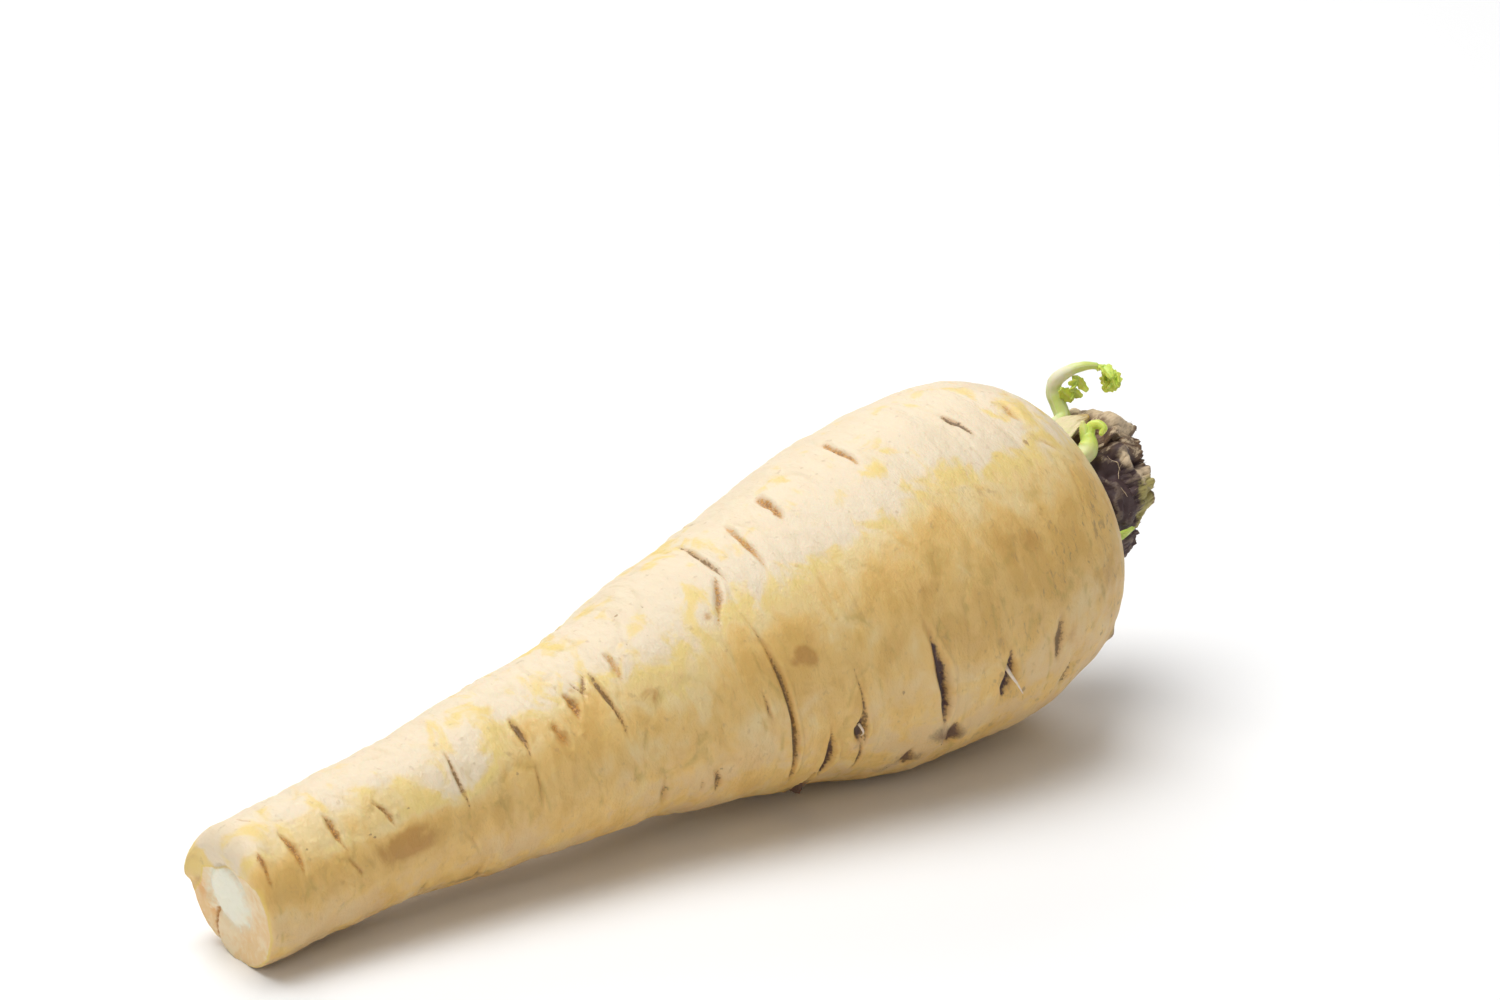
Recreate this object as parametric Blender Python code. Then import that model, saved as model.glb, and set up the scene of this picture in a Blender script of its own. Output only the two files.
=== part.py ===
"""A parsnip lying on its side: one taproot with its cut tip, the stub of withered leaf bases in the
hollow of the crown, and the young green shoots that have started beside the stub.

Blender 4.5, in metres, +Z up. +X runs from the cut tip to the crown. The origin is on the surface that
the root lies on, under the middle of the parsnip's box. Places on the root are given by three numbers:
the distance along its axis from the cut end, the distance from that axis, and the angle round it, which
is 0 on top and 90 degrees on the -Y side.
"""

import math
import random

import bmesh
import bpy
from mathutils import Vector, noise

MM = 0.001

# Lie of the root: it rests on its belly and on the lower edge of its cut tip.
ORIGIN_FROM_TIP = 97.55 * MM
TIP_HEIGHT = 11.45 * MM
LEAN = math.radians(7.7)

# Profile of the side: radii at stations from the cut end to the widest place.
STATIONS = [mm * MM for mm in (0, 15, 35, 55, 75, 90, 105, 120, 135, 154)]
RADII = [mm * MM for mm in (12.2, 12.3, 13.6, 15.6, 17.7, 20.9, 24.1, 27.5, 30.3, 31.0)]
SHOULDER_AT = STATIONS[-1]
SHOULDER_RADIUS = RADII[-1]

# The shoulder closes in a superellipse dome, whose top is sunk in a hollow with a flat floor.
DOME_HEIGHT = 26.0 * MM
DOME_POWER = 3.0
CREST_RADIUS = 18.6 * MM
CREST_SHARE = CREST_RADIUS / SHOULDER_RADIUS
CREST_AT = SHOULDER_AT + DOME_HEIGHT * (1 - CREST_SHARE**DOME_POWER) ** (1 / DOME_POWER)
HOLLOW_DEPTH = 4.6 * MM
HOLLOW_WALL = [(0.08, 17.9), (0.4, 17.4), (0.85, 17.0), (1.0, 16.4), (1.0, 8.0)]

# Cut tip: a dished face with the paler core standing in a ring-shaped groove, and a torn lip of skin.
# A share is a part of the tip's radius.
FACE_DISH = 0.9 * MM
FACE_ROUGHNESS = 0.25 * MM
CORE_SHARE = 0.46
CORE_HEIGHT = 0.22 * MM
CORE_GROOVE = 0.45 * MM
GROOVE_SHARE = 0.07
RIM_ROUND = 0.7 * MM
WORN_RIM_ROUND = 2.9 * MM
WORN_ANGLE = 4.0
WORN_SPREAD = 48.0
LIP_ANGLE = -84.0
LIP_SPREAD = 15.0
LIP_HEIGHT = 1.4 * MM
LIP_FROM_SHARE = 0.72

# Uneven growth: station, angle, height, half length and half spread, in millimetres and degrees.
BULGES = [
    (67, -35, -0.9, 10, 60),
    (88, -40, 0.8, 11, 60),
    (31, 146, -0.6, 4, 45),
    (67, 150, 0.6, 15, 60),
    (96, 155, -0.5, 6, 50),
    (111, 157, -0.8, 6, 50),
    (127, 157, 0.6, 7, 45),
    (149, 146, 0.7, 9, 40),
    (167, 134, -1.3, 7, 28),
    (174, 40, -0.7, 6, 24),
    (76, -14, 0.4, 3, 34),
]

# Relief of the skin: long swells, short wrinkles that run round the root, and creases right round it.
# A ripple is its height, its length along the root, how many it has round the root, and its seed.
SWELLS = (0.65 * MM, 26.0 * MM, 1.1, 3.1)
WRINKLES = (0.30 * MM, 5.5 * MM, 1.5, 8.7)
CREASES = [mm * MM for mm in (41.5, 53.5, 77.0, 87.5, 99.5)]
CREASE_DEPTH = 0.35 * MM
CREASE_WIDTH = 1.6 * MM
CREASE_SHIFT = 1.7

# Furrows that lateral roots left: start and end station, start and end angle, half width and depth,
# in millimetres and degrees. Each has low lips, LIP_AT half widths from its middle.
FURROWS = [
    (1.6, 1.6, 28, 60, 0.5, 0.4),
    (8.7, 8.7, 22, 68, 0.5, 0.5),
    (16.4, 18.4, 30, 80, 0.5, 0.5),
    (25.2, 27.1, 40, 62, 0.5, 0.45),
    (31.0, 31.0, 116, 140, 0.8, 0.5),
    (37.8, 40.8, 74, 110, 0.5, 0.3),
    (41.6, 41.6, 120, 144, 0.7, 0.45),
    (40.7, 39.8, 28, 72, 0.6, 0.55),
    (53.3, 53.3, 28, 90, 0.6, 0.6),
    (59.5, 60.2, 44, 65, 0.9, 0.7),
    (63.9, 63.9, 34, 55, 1.0, 0.95),
    (69.7, 66.8, 24, 39, 0.5, 0.35),
    (70.7, 70.7, 28, 70, 0.7, 0.8),
    (75.0, 74.6, 19, 42, 0.7, 0.4),
    (76.5, 77.5, 98, 127, 0.8, 0.5),
    (86.2, 87.2, 103, 126, 0.8, 0.65),
    (94.9, 96.9, 73, 88, 0.5, 0.4),
    (100.7, 99.8, -12, 19, 0.5, 0.45),
    (99.8, 92.6, 17, 37, 0.5, 0.4),
    (98.8, 101.9, 40, 122, 0.9, 1.2),
    (108.5, 106.5, -1, 30, 0.6, 0.5),
    (107.5, 108.5, 100, 131, 0.9, 1.2),
    (108.4, 104.6, 126, 153, 0.9, 1.1),
    (117.2, 115.3, -4, 17, 0.8, 0.75),
    (112.4, 116.2, 78, 134, 0.6, 0.6),
    (113.3, 113.5, 99, 115, 1.2, 1.5),
    (124.9, 124.9, 127, 138, 1.2, 0.8),
    (126.6, 130.0, 76, 115, 1.2, 1.7),
    (131.8, 132.7, 117, 130, 1.3, 1.0),
    (133.7, 132.7, -9, 14, 0.6, 0.45),
    (142.6, 141.2, 93, 111, 1.4, 1.6),
    (154.0, 153.0, 92, 104, 1.2, 0.7),
    (153.0, 154.0, 10, 26, 0.7, 0.55),
    (157.7, 156.3, 107, 123, 0.9, 0.6),
    (164.7, 164.0, 12, 25, 1.0, 0.45),
]
NARROWEST_FURROW = 1.15
FURROW_TAPER = 0.7
FURROW_REACH = 3.0
LIP_AT = 1.7
LIP_SHARE = 0.35
LIP_SHARPNESS = 3.0
# The side that the list leaves out, from HIDDEN_FROM round to HIDDEN_TO, has furrows in two rows.
HIDDEN_FROM, HIDDEN_TO = 156.0, 346.0
HIDDEN_STATIONS = (6.0, 166.0)
HIDDEN_ROWS = (205.0, 295.0)
HIDDEN_SCATTER = 20.0
HIDDEN_HALF_SPREAD = (7.0, 24.0)
HIDDEN_SLANT = 1.2
HIDDEN_WIDTH = (0.5, 1.1)
HIDDEN_DEPTH_SHARE = (0.6, 1.2)
HIDDEN_COUNT = 30
HIDDEN_SEED = 11

# Fineness of the taproot's mesh. Its face has rings over the core, and more from there to the rim.
SIDES = 32
RING_STEP = 1.55 * MM
DOME_RINGS = 13
CORE_RINGS = (0.22, CORE_SHARE - 0.07, CORE_SHARE, CORE_SHARE + 0.08)
OUTER_RINGS = (0.5, 1.0)
RIM_TURNS = [math.radians(turn) for turn in (22, 48, 72)]
SIDE_FROM = 3.5 * MM
DOME_SMOOTH_FROM = 0.45

# Stub of withered leaf bases: a knob, and whorls of cupped scales fused to it. Distances out are from
# the crest of the crown. A scale is: angle, half its spread, radius at the foot and at the top, how far
# out it reaches, and how far its tip curls in, in degrees and millimetres.
GAP = 0.3 * MM
STUB_FOOT = GAP - HOLLOW_DEPTH
KNOB = [(-4.3, 10.6), (-1.5, 11.0), (3.0, 11.2), (7.0, 10.8), (10.5, 9.4), (13.0, 6.4), (14.2, 2.8)]
KNOB_TOP = 14.8
KNOB_SLANT = 0.3
KNOB_LEANS = math.radians(-15.0)
KNOB_ROUGHNESS = 1.2 * MM
KNOB_LUMPS = (0.16, 1.6)
KNOB_SIDES = 16
SCALES = [
    (-30, 26, 10.5, 15.0, 19.5, 3.0),
    (5, 25, 10.4, 15.6, 21.6, 4.0),
    (47, 28, 10.9, 13.2, 18.4, 2.4),
    (86, 27, 11.4, 12.8, 16.0, 1.5),
    (119, 25, 11.2, 12.8, 12.0, -0.4),
    (152, 27, 11.0, 12.2, 9.8, 0.5),
    (190, 28, 11.0, 12.0, 9.2, 1.2),
    (228, 27, 11.2, 12.2, 11.2, 0.6),
    (266, 28, 11.4, 13.0, 14.4, 2.2),
    (301, 27, 10.8, 13.6, 17.0, 2.6),
    (-9, 37, 8.4, 11.4, 20.2, 3.4),
    (66, 40, 8.6, 10.4, 17.8, 2.6),
    (140, 38, 8.6, 9.4, 14.0, 1.5),
    (214, 38, 8.6, 9.2, 13.2, 1.8),
    (284, 38, 8.6, 10.2, 16.6, 2.2),
    (30, 84, 5.2, 6.4, 18.4, 2.4),
    (210, 84, 5.0, 5.4, 15.4, 1.8),
]
SCALE_FOOT = 0.9 * MM
SCALE_STAGGER = 0.07 * MM
SCALE_THICKNESS = 1.7 * MM
SCALE_EDGE = 0.8 * MM
SCALE_NARROWING = 0.25
SCALE_ROUNDING = 0.16
SCALE_SWELLS_FROM, SCALE_SWELLS_TO = 0.48, 0.78
SCALE_CURLS_FROM = 0.76
SCALE_RAGGED = 2.4 * MM
SCALE_CRUMPLE = 1.0 * MM
SCALE_CREASES = (0.37, 2.0, 2.8)
SCALE_ACROSS, SCALE_UP = 5, 6

# Young shoots: routes as (out from the crest, towards -Y, up) and thicknesses, in millimetres.
HOOKED_STALK = [
    (-4.3, -4.2, 13.9), (2.0, -4.2, 13.9), (6.5, -4.1, 13.9), (9.3, -4.6, 14.4), (10.1, -6.4, 16.3),
    (10.3, -7.6, 18.5), (10.9, -7.1, 20.9), (12.8, -5.1, 22.7), (14.8, -3.7, 23.1), (16.4, -2.8, 22.9),
]
HOOKED_RADII = (1.4, 1.4, 1.45, 1.5, 1.5, 1.45, 1.35, 1.15, 0.95, 0.8)
LEAF_RIB = [
    (16.9, -2.5, 22.5), (17.9, -1.8, 22.2), (18.8, -1.1, 21.3), (19.1, -0.6, 20.0), (18.8, -0.2, 18.8),
]
LEAF_RIB_RADIUS = 0.55
LEAFLET_STALK = [(13.0, -4.6, 20.2), (12.4, -4.5, 19.4), (12.1, -4.4, 18.5), (12.1, -4.3, 17.7)]
LEAFLET_STALK_RADIUS = 0.5
FORKED_STEM = [(-4.3, 7.0, 12.5), (2.0, 7.0, 12.5), (4.6, 6.7, 12.7), (5.9, 6.2, 13.6), (6.5, 5.6, 14.8)]
FORKED_STEM_RADII = (1.4, 1.45, 1.8, 1.8, 1.3)
FORK_LEFT = [(6.1, 5.6, 14.4), (6.2, 4.8, 15.8), (6.0, 4.1, 17.2), (6.0, 3.7, 18.1)]
FORK_LEFT_RADII = (1.1, 1.0, 0.8, 0.4)
FORK_RIGHT = [
    (6.5, 5.6, 14.6), (7.3, 5.2, 15.6), (7.9, 5.2, 16.5),
    (8.6, 6.2, 16.8), (8.8, 7.3, 16.3), (8.0, 7.5, 15.6),
]
FORK_RIGHT_RADII = (1.1, 1.0, 0.9, 0.85, 0.75, 0.45)
STALK_SIDES = 9
RIB_SIDES = 7
BLUNTNESS = 0.6

# Small scales that stand by themselves, in the order of the scales above.
SHEATH = (4.5, 8.0, 14.7, 15.6, 12.0, 0.4)
BUD = (94.0, 6.0, 14.6, 15.2, 9.0, 0.4)
SMALL_SCALE_THICKNESS = 0.9 * MM
SMALL_SCALE_POINT = 0.8

# Young leaf: toothed leaflets along the hooked rib, as (place on the rib, side, length, half width, roll).
# A leaflet leaves its rib partly ahead and partly sideways. It droops, and its sides rise from its middle.
LEAFLETS = [
    (0.10, 1, 3.2, 1.5, 10), (0.16, -1, 3.0, 1.5, -20), (0.48, 1, 3.4, 1.6, 35), (0.55, -1, 3.3, 1.6, -40),
    (0.80, 1, 2.8, 1.4, 60), (0.84, -1, 2.7, 1.4, -70),
]
HANGING_BLADES = [(0.33, 1, 2.3, 0.9, 25), (0.33, -1, 2.3, 0.9, -25)]
RIB_TAPER = 0.4
LEAFLET_AHEAD, LEAFLET_ASIDE = 0.55, 0.85
LEAFLET_FROM, LEAFLET_SPAN, LEAFLET_ROUNDNESS = 0.16, 0.74, 0.8
LEAFLET_DROOP = 0.9 * MM
LEAFLET_FOLD = 0.45
LEAFLET_THICKNESS = 0.7 * MM
LEAFLET_TEETH = 3
TOOTH_DEPTH = 0.28
SHARP_EDGE = math.radians(50)

COLOURS = {
    "parsnip_skin": ((0.80, 0.62, 0.36), 0.55),
    "withered_leaf_base": ((0.115, 0.075, 0.055), 0.85),
    "shoot_stalk": ((0.70, 0.74, 0.42), 0.40),
    "young_leaf": ((0.36, 0.60, 0.08), 0.45),
    "dry_sheath": ((0.62, 0.47, 0.22), 0.60),
}

AXIS = Vector((math.cos(LEAN), 0, math.sin(LEAN)))
UP = Vector((-math.sin(LEAN), 0, math.cos(LEAN)))
NEAR = Vector((0, -1, 0))
TIP_CENTRE = Vector((-ORIGIN_FROM_TIP, 0, TIP_HEIGHT))


def clear_scene():
    for obj in list(bpy.data.objects):
        bpy.data.objects.remove(obj)


def clamp(value, low=0.0, high=1.0):
    return max(low, min(high, value))


def smooth_step(value):
    value = clamp(value)
    return value * value * (3 - 2 * value)


def curve_through(places, values, place):
    """The smooth curve through the values at those places, level at its last one."""
    if place >= places[-1]:
        return values[-1]
    i = max(k for k in range(len(places) - 1) if places[k] <= max(place, places[0]))
    slopes = []
    for k in (i, i + 1):
        before, after = max(k - 1, 0), min(k + 1, len(places) - 1)
        slopes.append((values[after] - values[before]) / (places[after] - places[before]))
    if i + 1 == len(places) - 1:
        slopes[1] = 0.0
    span = places[i + 1] - places[i]
    t = (place - places[i]) / span
    return (
        (2 * t**3 - 3 * t**2 + 1) * values[i]
        + (t**3 - 2 * t**2 + t) * span * slopes[0]
        + (3 * t**2 - 2 * t**3) * values[i + 1]
        + (t**3 - t**2) * span * slopes[1]
    )


def round_axis(angle):
    """The direction away from the root's axis at an angle in radians."""
    return UP * math.cos(angle) + NEAR * math.sin(angle)


def on_root(along, radius, angle):
    return TIP_CENTRE + AXIS * along + round_axis(angle) * radius


def beside_crown(out, near, up):
    """A point by the crown, from millimetres out from its crest, towards -Y and up."""
    return TIP_CENTRE + AXIS * (CREST_AT + out * MM) + NEAR * (near * MM) + UP * (up * MM)


def hidden_furrows():
    """Furrows of the far side and the underside, in two loose rows."""
    draw = random.Random(HIDDEN_SEED)
    first, last = HIDDEN_STATIONS
    found = []
    for k in range(HIDDEN_COUNT):
        station = first + (last - first) * (k + draw.random()) / HIDDEN_COUNT
        half = draw.uniform(*HIDDEN_HALF_SPREAD)
        middle = HIDDEN_ROWS[k % 2] + draw.uniform(-HIDDEN_SCATTER, HIDDEN_SCATTER)
        middle = clamp(middle, HIDDEN_FROM + half, HIDDEN_TO - half)
        slant = draw.uniform(-HIDDEN_SLANT, HIDDEN_SLANT)
        width = draw.uniform(*HIDDEN_WIDTH)
        depth = width * draw.uniform(*HIDDEN_DEPTH_SHARE)
        found.append((station - slant, station + slant, middle - half, middle + half, width, depth))
    return found


ALL_FURROWS = FURROWS + hidden_furrows()


def turned(degrees, middle):
    """An angle measured from another one, between -180 and 180 degrees."""
    return (degrees - middle + 180) % 360 - 180


def bulge_relief(along, degrees):
    total = 0.0
    for station, middle, height, length, spread in BULGES:
        lengthwise = (along / MM - station) / length
        round_it = turned(degrees, middle) / spread
        total += height * MM * math.exp(-lengthwise * lengthwise - round_it * round_it)
    return total


def furrow_relief(along, degrees):
    """How far the furrows lower the skin, with the low lips that they have on both sides."""
    total = 0.0
    for start, end, first, last, width, depth in ALL_FURROWS:
        half_turn = (last - first) / 2
        share = (turned(degrees, first + half_turn) + half_turn) / (2 * half_turn)
        if not 0 < share < 1:
            continue
        middle = start + (end - start) * share
        across = abs(along / MM - middle) / max(width, NARROWEST_FURROW)
        if across > FURROW_REACH:
            continue
        taper = math.sin(math.pi * share) ** FURROW_TAPER
        lip = LIP_SHARE * math.exp(-LIP_SHARPNESS * (across - LIP_AT) ** 2)
        total -= depth * MM * taper * (math.exp(-across * across) - lip)
    return total


def ripple(along, angle, height, length, turns, seed):
    place = Vector((along / length, turns * math.cos(angle) + seed, turns * math.sin(angle)))
    return height * noise.noise(place)


def crease_relief(along, angle):
    total = 0.0
    for k, station in enumerate(CREASES):
        strength = (1 + math.sin(2 * angle + CREASE_SHIFT * k)) / 2
        total -= CREASE_DEPTH * strength * math.exp(-(((along - station) / CREASE_WIDTH) ** 2))
    return total


def skin_relief(along, angle):
    """How far the skin stands out from the smooth profile."""
    degrees = math.degrees(angle)
    form = ripple(along, angle, *SWELLS) + ripple(along, angle, *WRINKLES)
    form += crease_relief(along, angle) + bulge_relief(along, degrees)
    return form * smooth_step(along / SIDE_FROM) + furrow_relief(along, degrees)


def face_place(share, angle):
    """How far the cut face lies along the axis, at a share of the tip's radius."""
    dish = FACE_DISH * (1 - share**2)
    groove = CORE_GROOVE * math.exp(-(((share - CORE_SHARE) / GROOVE_SHARE) ** 2))
    core = CORE_HEIGHT * smooth_step((CORE_SHARE - share) / GROOVE_SHARE)
    away = turned(math.degrees(angle), LIP_ANGLE) / LIP_SPREAD
    lip = LIP_HEIGHT * math.exp(-away * away) * smooth_step((share - LIP_FROM_SHARE) / (1 - LIP_FROM_SHARE))
    rough = ripple(0, angle, FACE_ROUGHNESS, 1, 4 * share, 0)
    return dish + groove - core - lip + rough


def rim_round(angle):
    """The radius of the tip's rim, which is worn rounder on its upper side."""
    away = turned(math.degrees(angle), WORN_ANGLE) / WORN_SPREAD
    return RIM_ROUND + (WORN_RIM_ROUND - RIM_ROUND) * math.exp(-away * away)


def face_rings():
    """The cut face from its middle out, and the rounded rim round it."""
    rings = []
    for share in CORE_RINGS:
        rings.append([(face_place(share, angle), RADII[0] * share, angle) for angle in ring_angles()])
    core = CORE_RINGS[-1]
    for step in OUTER_RINGS:
        ring = []
        for angle in ring_angles():
            share = core + (1 - rim_round(angle) / RADII[0] - core) * step
            ring.append((face_place(share, angle), RADII[0] * share, angle))
        rings.append(ring)
    for turn in RIM_TURNS:
        ring = []
        for angle in ring_angles():
            size = rim_round(angle)
            along = face_place(1, angle) + size * (1 - math.cos(turn))
            ring.append((along, RADII[0] - size * (1 - math.sin(turn)), angle))
        rings.append(ring)
    return rings


def ring_angles():
    return [2 * math.pi * k / SIDES for k in range(SIDES)]


def side_rings():
    count = round((SHOULDER_AT - SIDE_FROM) / RING_STEP)
    rings = []
    for k in range(count + 1):
        along = SIDE_FROM + (SHOULDER_AT - SIDE_FROM) * k / count
        radius = curve_through(STATIONS, RADII, along)
        rings.append([(along, radius + skin_relief(along, angle), angle) for angle in ring_angles()])
    return rings


def dome_rings():
    """The shoulder's dome, from the widest place to the crest round the hollow."""
    crest = math.acos((CREST_RADIUS / SHOULDER_RADIUS) ** (DOME_POWER / 2))
    rings = []
    for k in range(1, DOME_RINGS + 1):
        turn = crest * k / DOME_RINGS
        along = SHOULDER_AT + DOME_HEIGHT * math.sin(turn) ** (2 / DOME_POWER)
        radius = SHOULDER_RADIUS * math.cos(turn) ** (2 / DOME_POWER)
        fade = 1 - smooth_step((k / DOME_RINGS - DOME_SMOOTH_FROM) / (1 - DOME_SMOOTH_FROM))
        rings.append([(along, radius + fade * skin_relief(along, angle), angle) for angle in ring_angles()])
    return rings


def hollow_rings():
    """The hollow in the crown: its wall and the flat floor that the stub and the shoots stand on."""
    rings = []
    for share, radius in HOLLOW_WALL:
        along = CREST_AT - share * HOLLOW_DEPTH
        rings.append([(along, radius * MM, angle) for angle in ring_angles()])
    return rings


def principled(name):
    colour, roughness = COLOURS[name]
    material = bpy.data.materials.new(name)
    material.use_nodes = True
    shader = material.node_tree.nodes["Principled BSDF"]
    shader.inputs["Base Color"].default_value = (*colour, 1.0)
    shader.inputs["Roughness"].default_value = roughness
    shader.inputs["Metallic"].default_value = 0.0
    return material


def add_object(name, bm):
    bmesh.ops.recalc_face_normals(bm, faces=bm.faces)
    mesh = bpy.data.meshes.new(name)
    bm.to_mesh(mesh)
    bm.free()
    mesh.shade_smooth()
    obj = bpy.data.objects.new(name, mesh)
    bpy.context.scene.collection.objects.link(obj)
    return obj


def loft(name, rings, start, end):
    """A closed body through rings of points, with a point closing it at each end."""
    bm = bmesh.new()
    made = [[bm.verts.new(point) for point in ring] for ring in rings]
    sides = len(rings[0])
    for lower, upper in zip(made, made[1:]):
        for k in range(sides):
            after = (k + 1) % sides
            bm.faces.new((lower[k], lower[after], upper[after], upper[k]))
    for ring, point in ((made[0], start), (made[-1], end)):
        pole = bm.verts.new(point)
        for k in range(sides):
            bm.faces.new((ring[k], ring[(k + 1) % sides], pole))
    return add_object(name, bm)


def blade(name, rows, thickness):
    """A closed thin body about a grid of points, thickness(i, j) thick. Both faces are split into
    triangles in the same way, so they never cross."""
    up, across = len(rows), len(rows[0])
    bm = bmesh.new()
    faces = []
    for side in (0.5, -0.5):
        grid = []
        for i in range(up):
            row = []
            for j in range(across):
                along = rows[min(i + 1, up - 1)][j] - rows[max(i - 1, 0)][j]
                beside = rows[i][min(j + 1, across - 1)] - rows[i][max(j - 1, 0)]
                normal = along.cross(beside).normalized()
                row.append(bm.verts.new(rows[i][j] + normal * (side * thickness(i, j))))
            grid.append(row)
        faces.append(grid)
        for i in range(up - 1):
            for j in range(across - 1):
                bm.faces.new((grid[i][j], grid[i][j + 1], grid[i + 1][j + 1]))
                bm.faces.new((grid[i][j], grid[i + 1][j + 1], grid[i + 1][j]))
    front, back = faces
    border = [(i, 0) for i in range(up)] + [(up - 1, j) for j in range(1, across)]
    border += [(i, across - 1) for i in range(up - 2, -1, -1)] + [(0, j) for j in range(across - 2, 0, -1)]
    for k, (i, j) in enumerate(border):
        m, n = border[(k + 1) % len(border)]
        bm.faces.new((front[i][j], front[m][n], back[m][n]))
        bm.faces.new((front[i][j], back[m][n], back[i][j]))
    return add_object(name, bm)


def tube(name, points, radii, sides):
    """A round body along the points, with a blunt closed end."""
    rings = []
    side = Vector((0, 1, 0))
    for k, point in enumerate(points):
        ahead = (points[min(k + 1, len(points) - 1)] - points[max(k - 1, 0)]).normalized()
        side = (side - ahead * side.dot(ahead)).normalized()
        other = ahead.cross(side)
        turns = [2 * math.pi * n / sides for n in range(sides)]
        rings.append([point + (side * math.cos(t) + other * math.sin(t)) * radii[k] for t in turns])
    last = points[-1] + (points[-1] - points[-2]).normalized() * radii[-1] * BLUNTNESS
    return loft(name, rings, points[0], last)


def rounded(values):
    """The values with one more between each two, on the smooth curve through them."""
    last = len(values) - 1
    found = []
    for k in range(last):
        a, b = values[k], values[k + 1]
        before, after = values[max(k - 1, 0)], values[min(k + 2, last)]
        found += [a, (a + b) * 0.5625 - (before + after) * 0.0625]
    return found + [values[-1]]


def shoot(name, route, radii):
    points = rounded([beside_crown(*place) for place in route])
    return tube(name, points, rounded([radius * MM for radius in radii]), STALK_SIDES)


def keep_outer_body(mesh):
    """Fills the hollows that fusing seals and drops loose scraps: only the largest skin stays."""
    bm = bmesh.new()
    bm.from_mesh(mesh)
    left = set(bm.verts)
    skins = []
    while left:
        skin = {left.pop()}
        edge_of_search = list(skin)
        while edge_of_search:
            vertex = edge_of_search.pop()
            for edge in vertex.link_edges:
                other = edge.other_vert(vertex)
                if other in left:
                    left.discard(other)
                    skin.add(other)
                    edge_of_search.append(other)
        skins.append(skin)
    skins.sort(key=len)
    for skin in skins[:-1]:
        bmesh.ops.delete(bm, geom=list(skin), context="VERTS")
    bm.to_mesh(mesh)
    bm.free()


def fuse(name, pieces, material, solver="EXACT"):
    """Joins closed pieces in one body by a Boolean union on their collection, and removes them."""
    first, others = pieces[0], pieces[1:]
    group = bpy.data.collections.new(name + "_pieces")
    bpy.context.scene.collection.children.link(group)
    for piece in others:
        bpy.context.scene.collection.objects.unlink(piece)
        group.objects.link(piece)
    union = first.modifiers.new("Fuse", "BOOLEAN")
    union.operation = "UNION"
    union.operand_type = "COLLECTION"
    union.collection = group
    union.solver = solver
    graph = bpy.context.evaluated_depsgraph_get()
    mesh = bpy.data.meshes.new_from_object(first.evaluated_get(graph))
    for piece in pieces:
        bpy.data.objects.remove(piece)
    bpy.data.collections.remove(group)
    keep_outer_body(mesh)
    node = bpy.data.objects.new(name, mesh)
    bpy.context.scene.collection.objects.link(node)
    return finish(node, material)


def finish(obj, material):
    obj.data.materials.clear()
    obj.data.materials.append(material)
    obj.data.shade_smooth()
    obj.data.set_sharp_from_angle(angle=SHARP_EDGE)
    return obj


def make_taproot(material):
    """The root, flattened by a hair where it lies on the surface."""
    rings = face_rings() + side_rings() + dome_rings() + hollow_rings()
    floor_of_hollow = CREST_AT - HOLLOW_DEPTH
    points = [[on_root(*place) for place in ring] for ring in rings]
    obj = loft("taproot", points, on_root(face_place(0, 0), 0, 0), on_root(floor_of_hollow, 0, 0))
    for vertex in obj.data.vertices:
        vertex.co.z = max(vertex.co.z, 0.0)
    return finish(obj, material)


def scale_rows(angle, spread, foot, top, reach, curl, foot_out, crumple, ragged):
    """The middle surface of a cupped scale that follows the crown round, from its foot to its ragged top."""
    about, across, upwards = SCALE_CREASES
    rows = []
    for i in range(SCALE_UP + 1):
        height = i / SCALE_UP
        row = []
        for j in range(SCALE_ACROSS + 1):
            side = 2 * j / SCALE_ACROSS - 1
            turn = math.radians(angle + spread * side * (1 - SCALE_NARROWING * height**2))
            seed = Vector((angle * about, side * across, height * upwards))
            swell = (height - SCALE_SWELLS_FROM) / (SCALE_SWELLS_TO - SCALE_SWELLS_FROM)
            tip = (height - SCALE_CURLS_FROM) / (1 - SCALE_CURLS_FROM)
            radius = foot + (top - foot) * smooth_step(swell) - curl * smooth_step(tip)
            radius = radius * MM + crumple * noise.noise(seed) * smooth_step(2 * height)
            end = reach * MM * (1 - SCALE_ROUNDING * side * side) + ragged * noise.noise(2 * seed)
            row.append(on_root(CREST_AT + foot_out + (end - foot_out) * height, radius, turn))
        rows.append(row)
    return rows


def scale_thickness(i, j):
    edge = max(abs(2 * j / SCALE_ACROSS - 1), (i / SCALE_UP) ** 2)
    return SCALE_THICKNESS + (SCALE_EDGE - SCALE_THICKNESS) * edge**2


def make_knob():
    """The body of the stub, whose lumpy top slants with the scales round it."""
    lengthwise, turns = KNOB_LUMPS
    rings = []
    for out, radius in KNOB:
        ring = []
        for k in range(KNOB_SIDES):
            angle = 2 * math.pi * k / KNOB_SIDES
            rough = ripple(out * lengthwise, angle, KNOB_ROUGHNESS, 1, turns, 0)
            slant = 1 + KNOB_SLANT * math.cos(angle - KNOB_LEANS) if out > 0 else 1
            ring.append(on_root(CREST_AT + out * slant * MM, radius * MM + rough, angle))
        rings.append(ring)
    foot, top = (on_root(CREST_AT + out * MM, 0, 0) for out in (KNOB[0][0], KNOB_TOP))
    return loft("knob", rings, foot, top)


def make_crown_stub(material):
    pieces = [make_knob()]
    for k, scale in enumerate(SCALES):
        foot_out = STUB_FOOT + SCALE_FOOT + SCALE_STAGGER * k
        rows = scale_rows(*scale, foot_out, SCALE_CRUMPLE, SCALE_RAGGED)
        pieces.append(blade(f"scale_{k + 1}", rows, scale_thickness))
    return fuse("crown_stub", pieces, material, solver="MANIFOLD")


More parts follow.
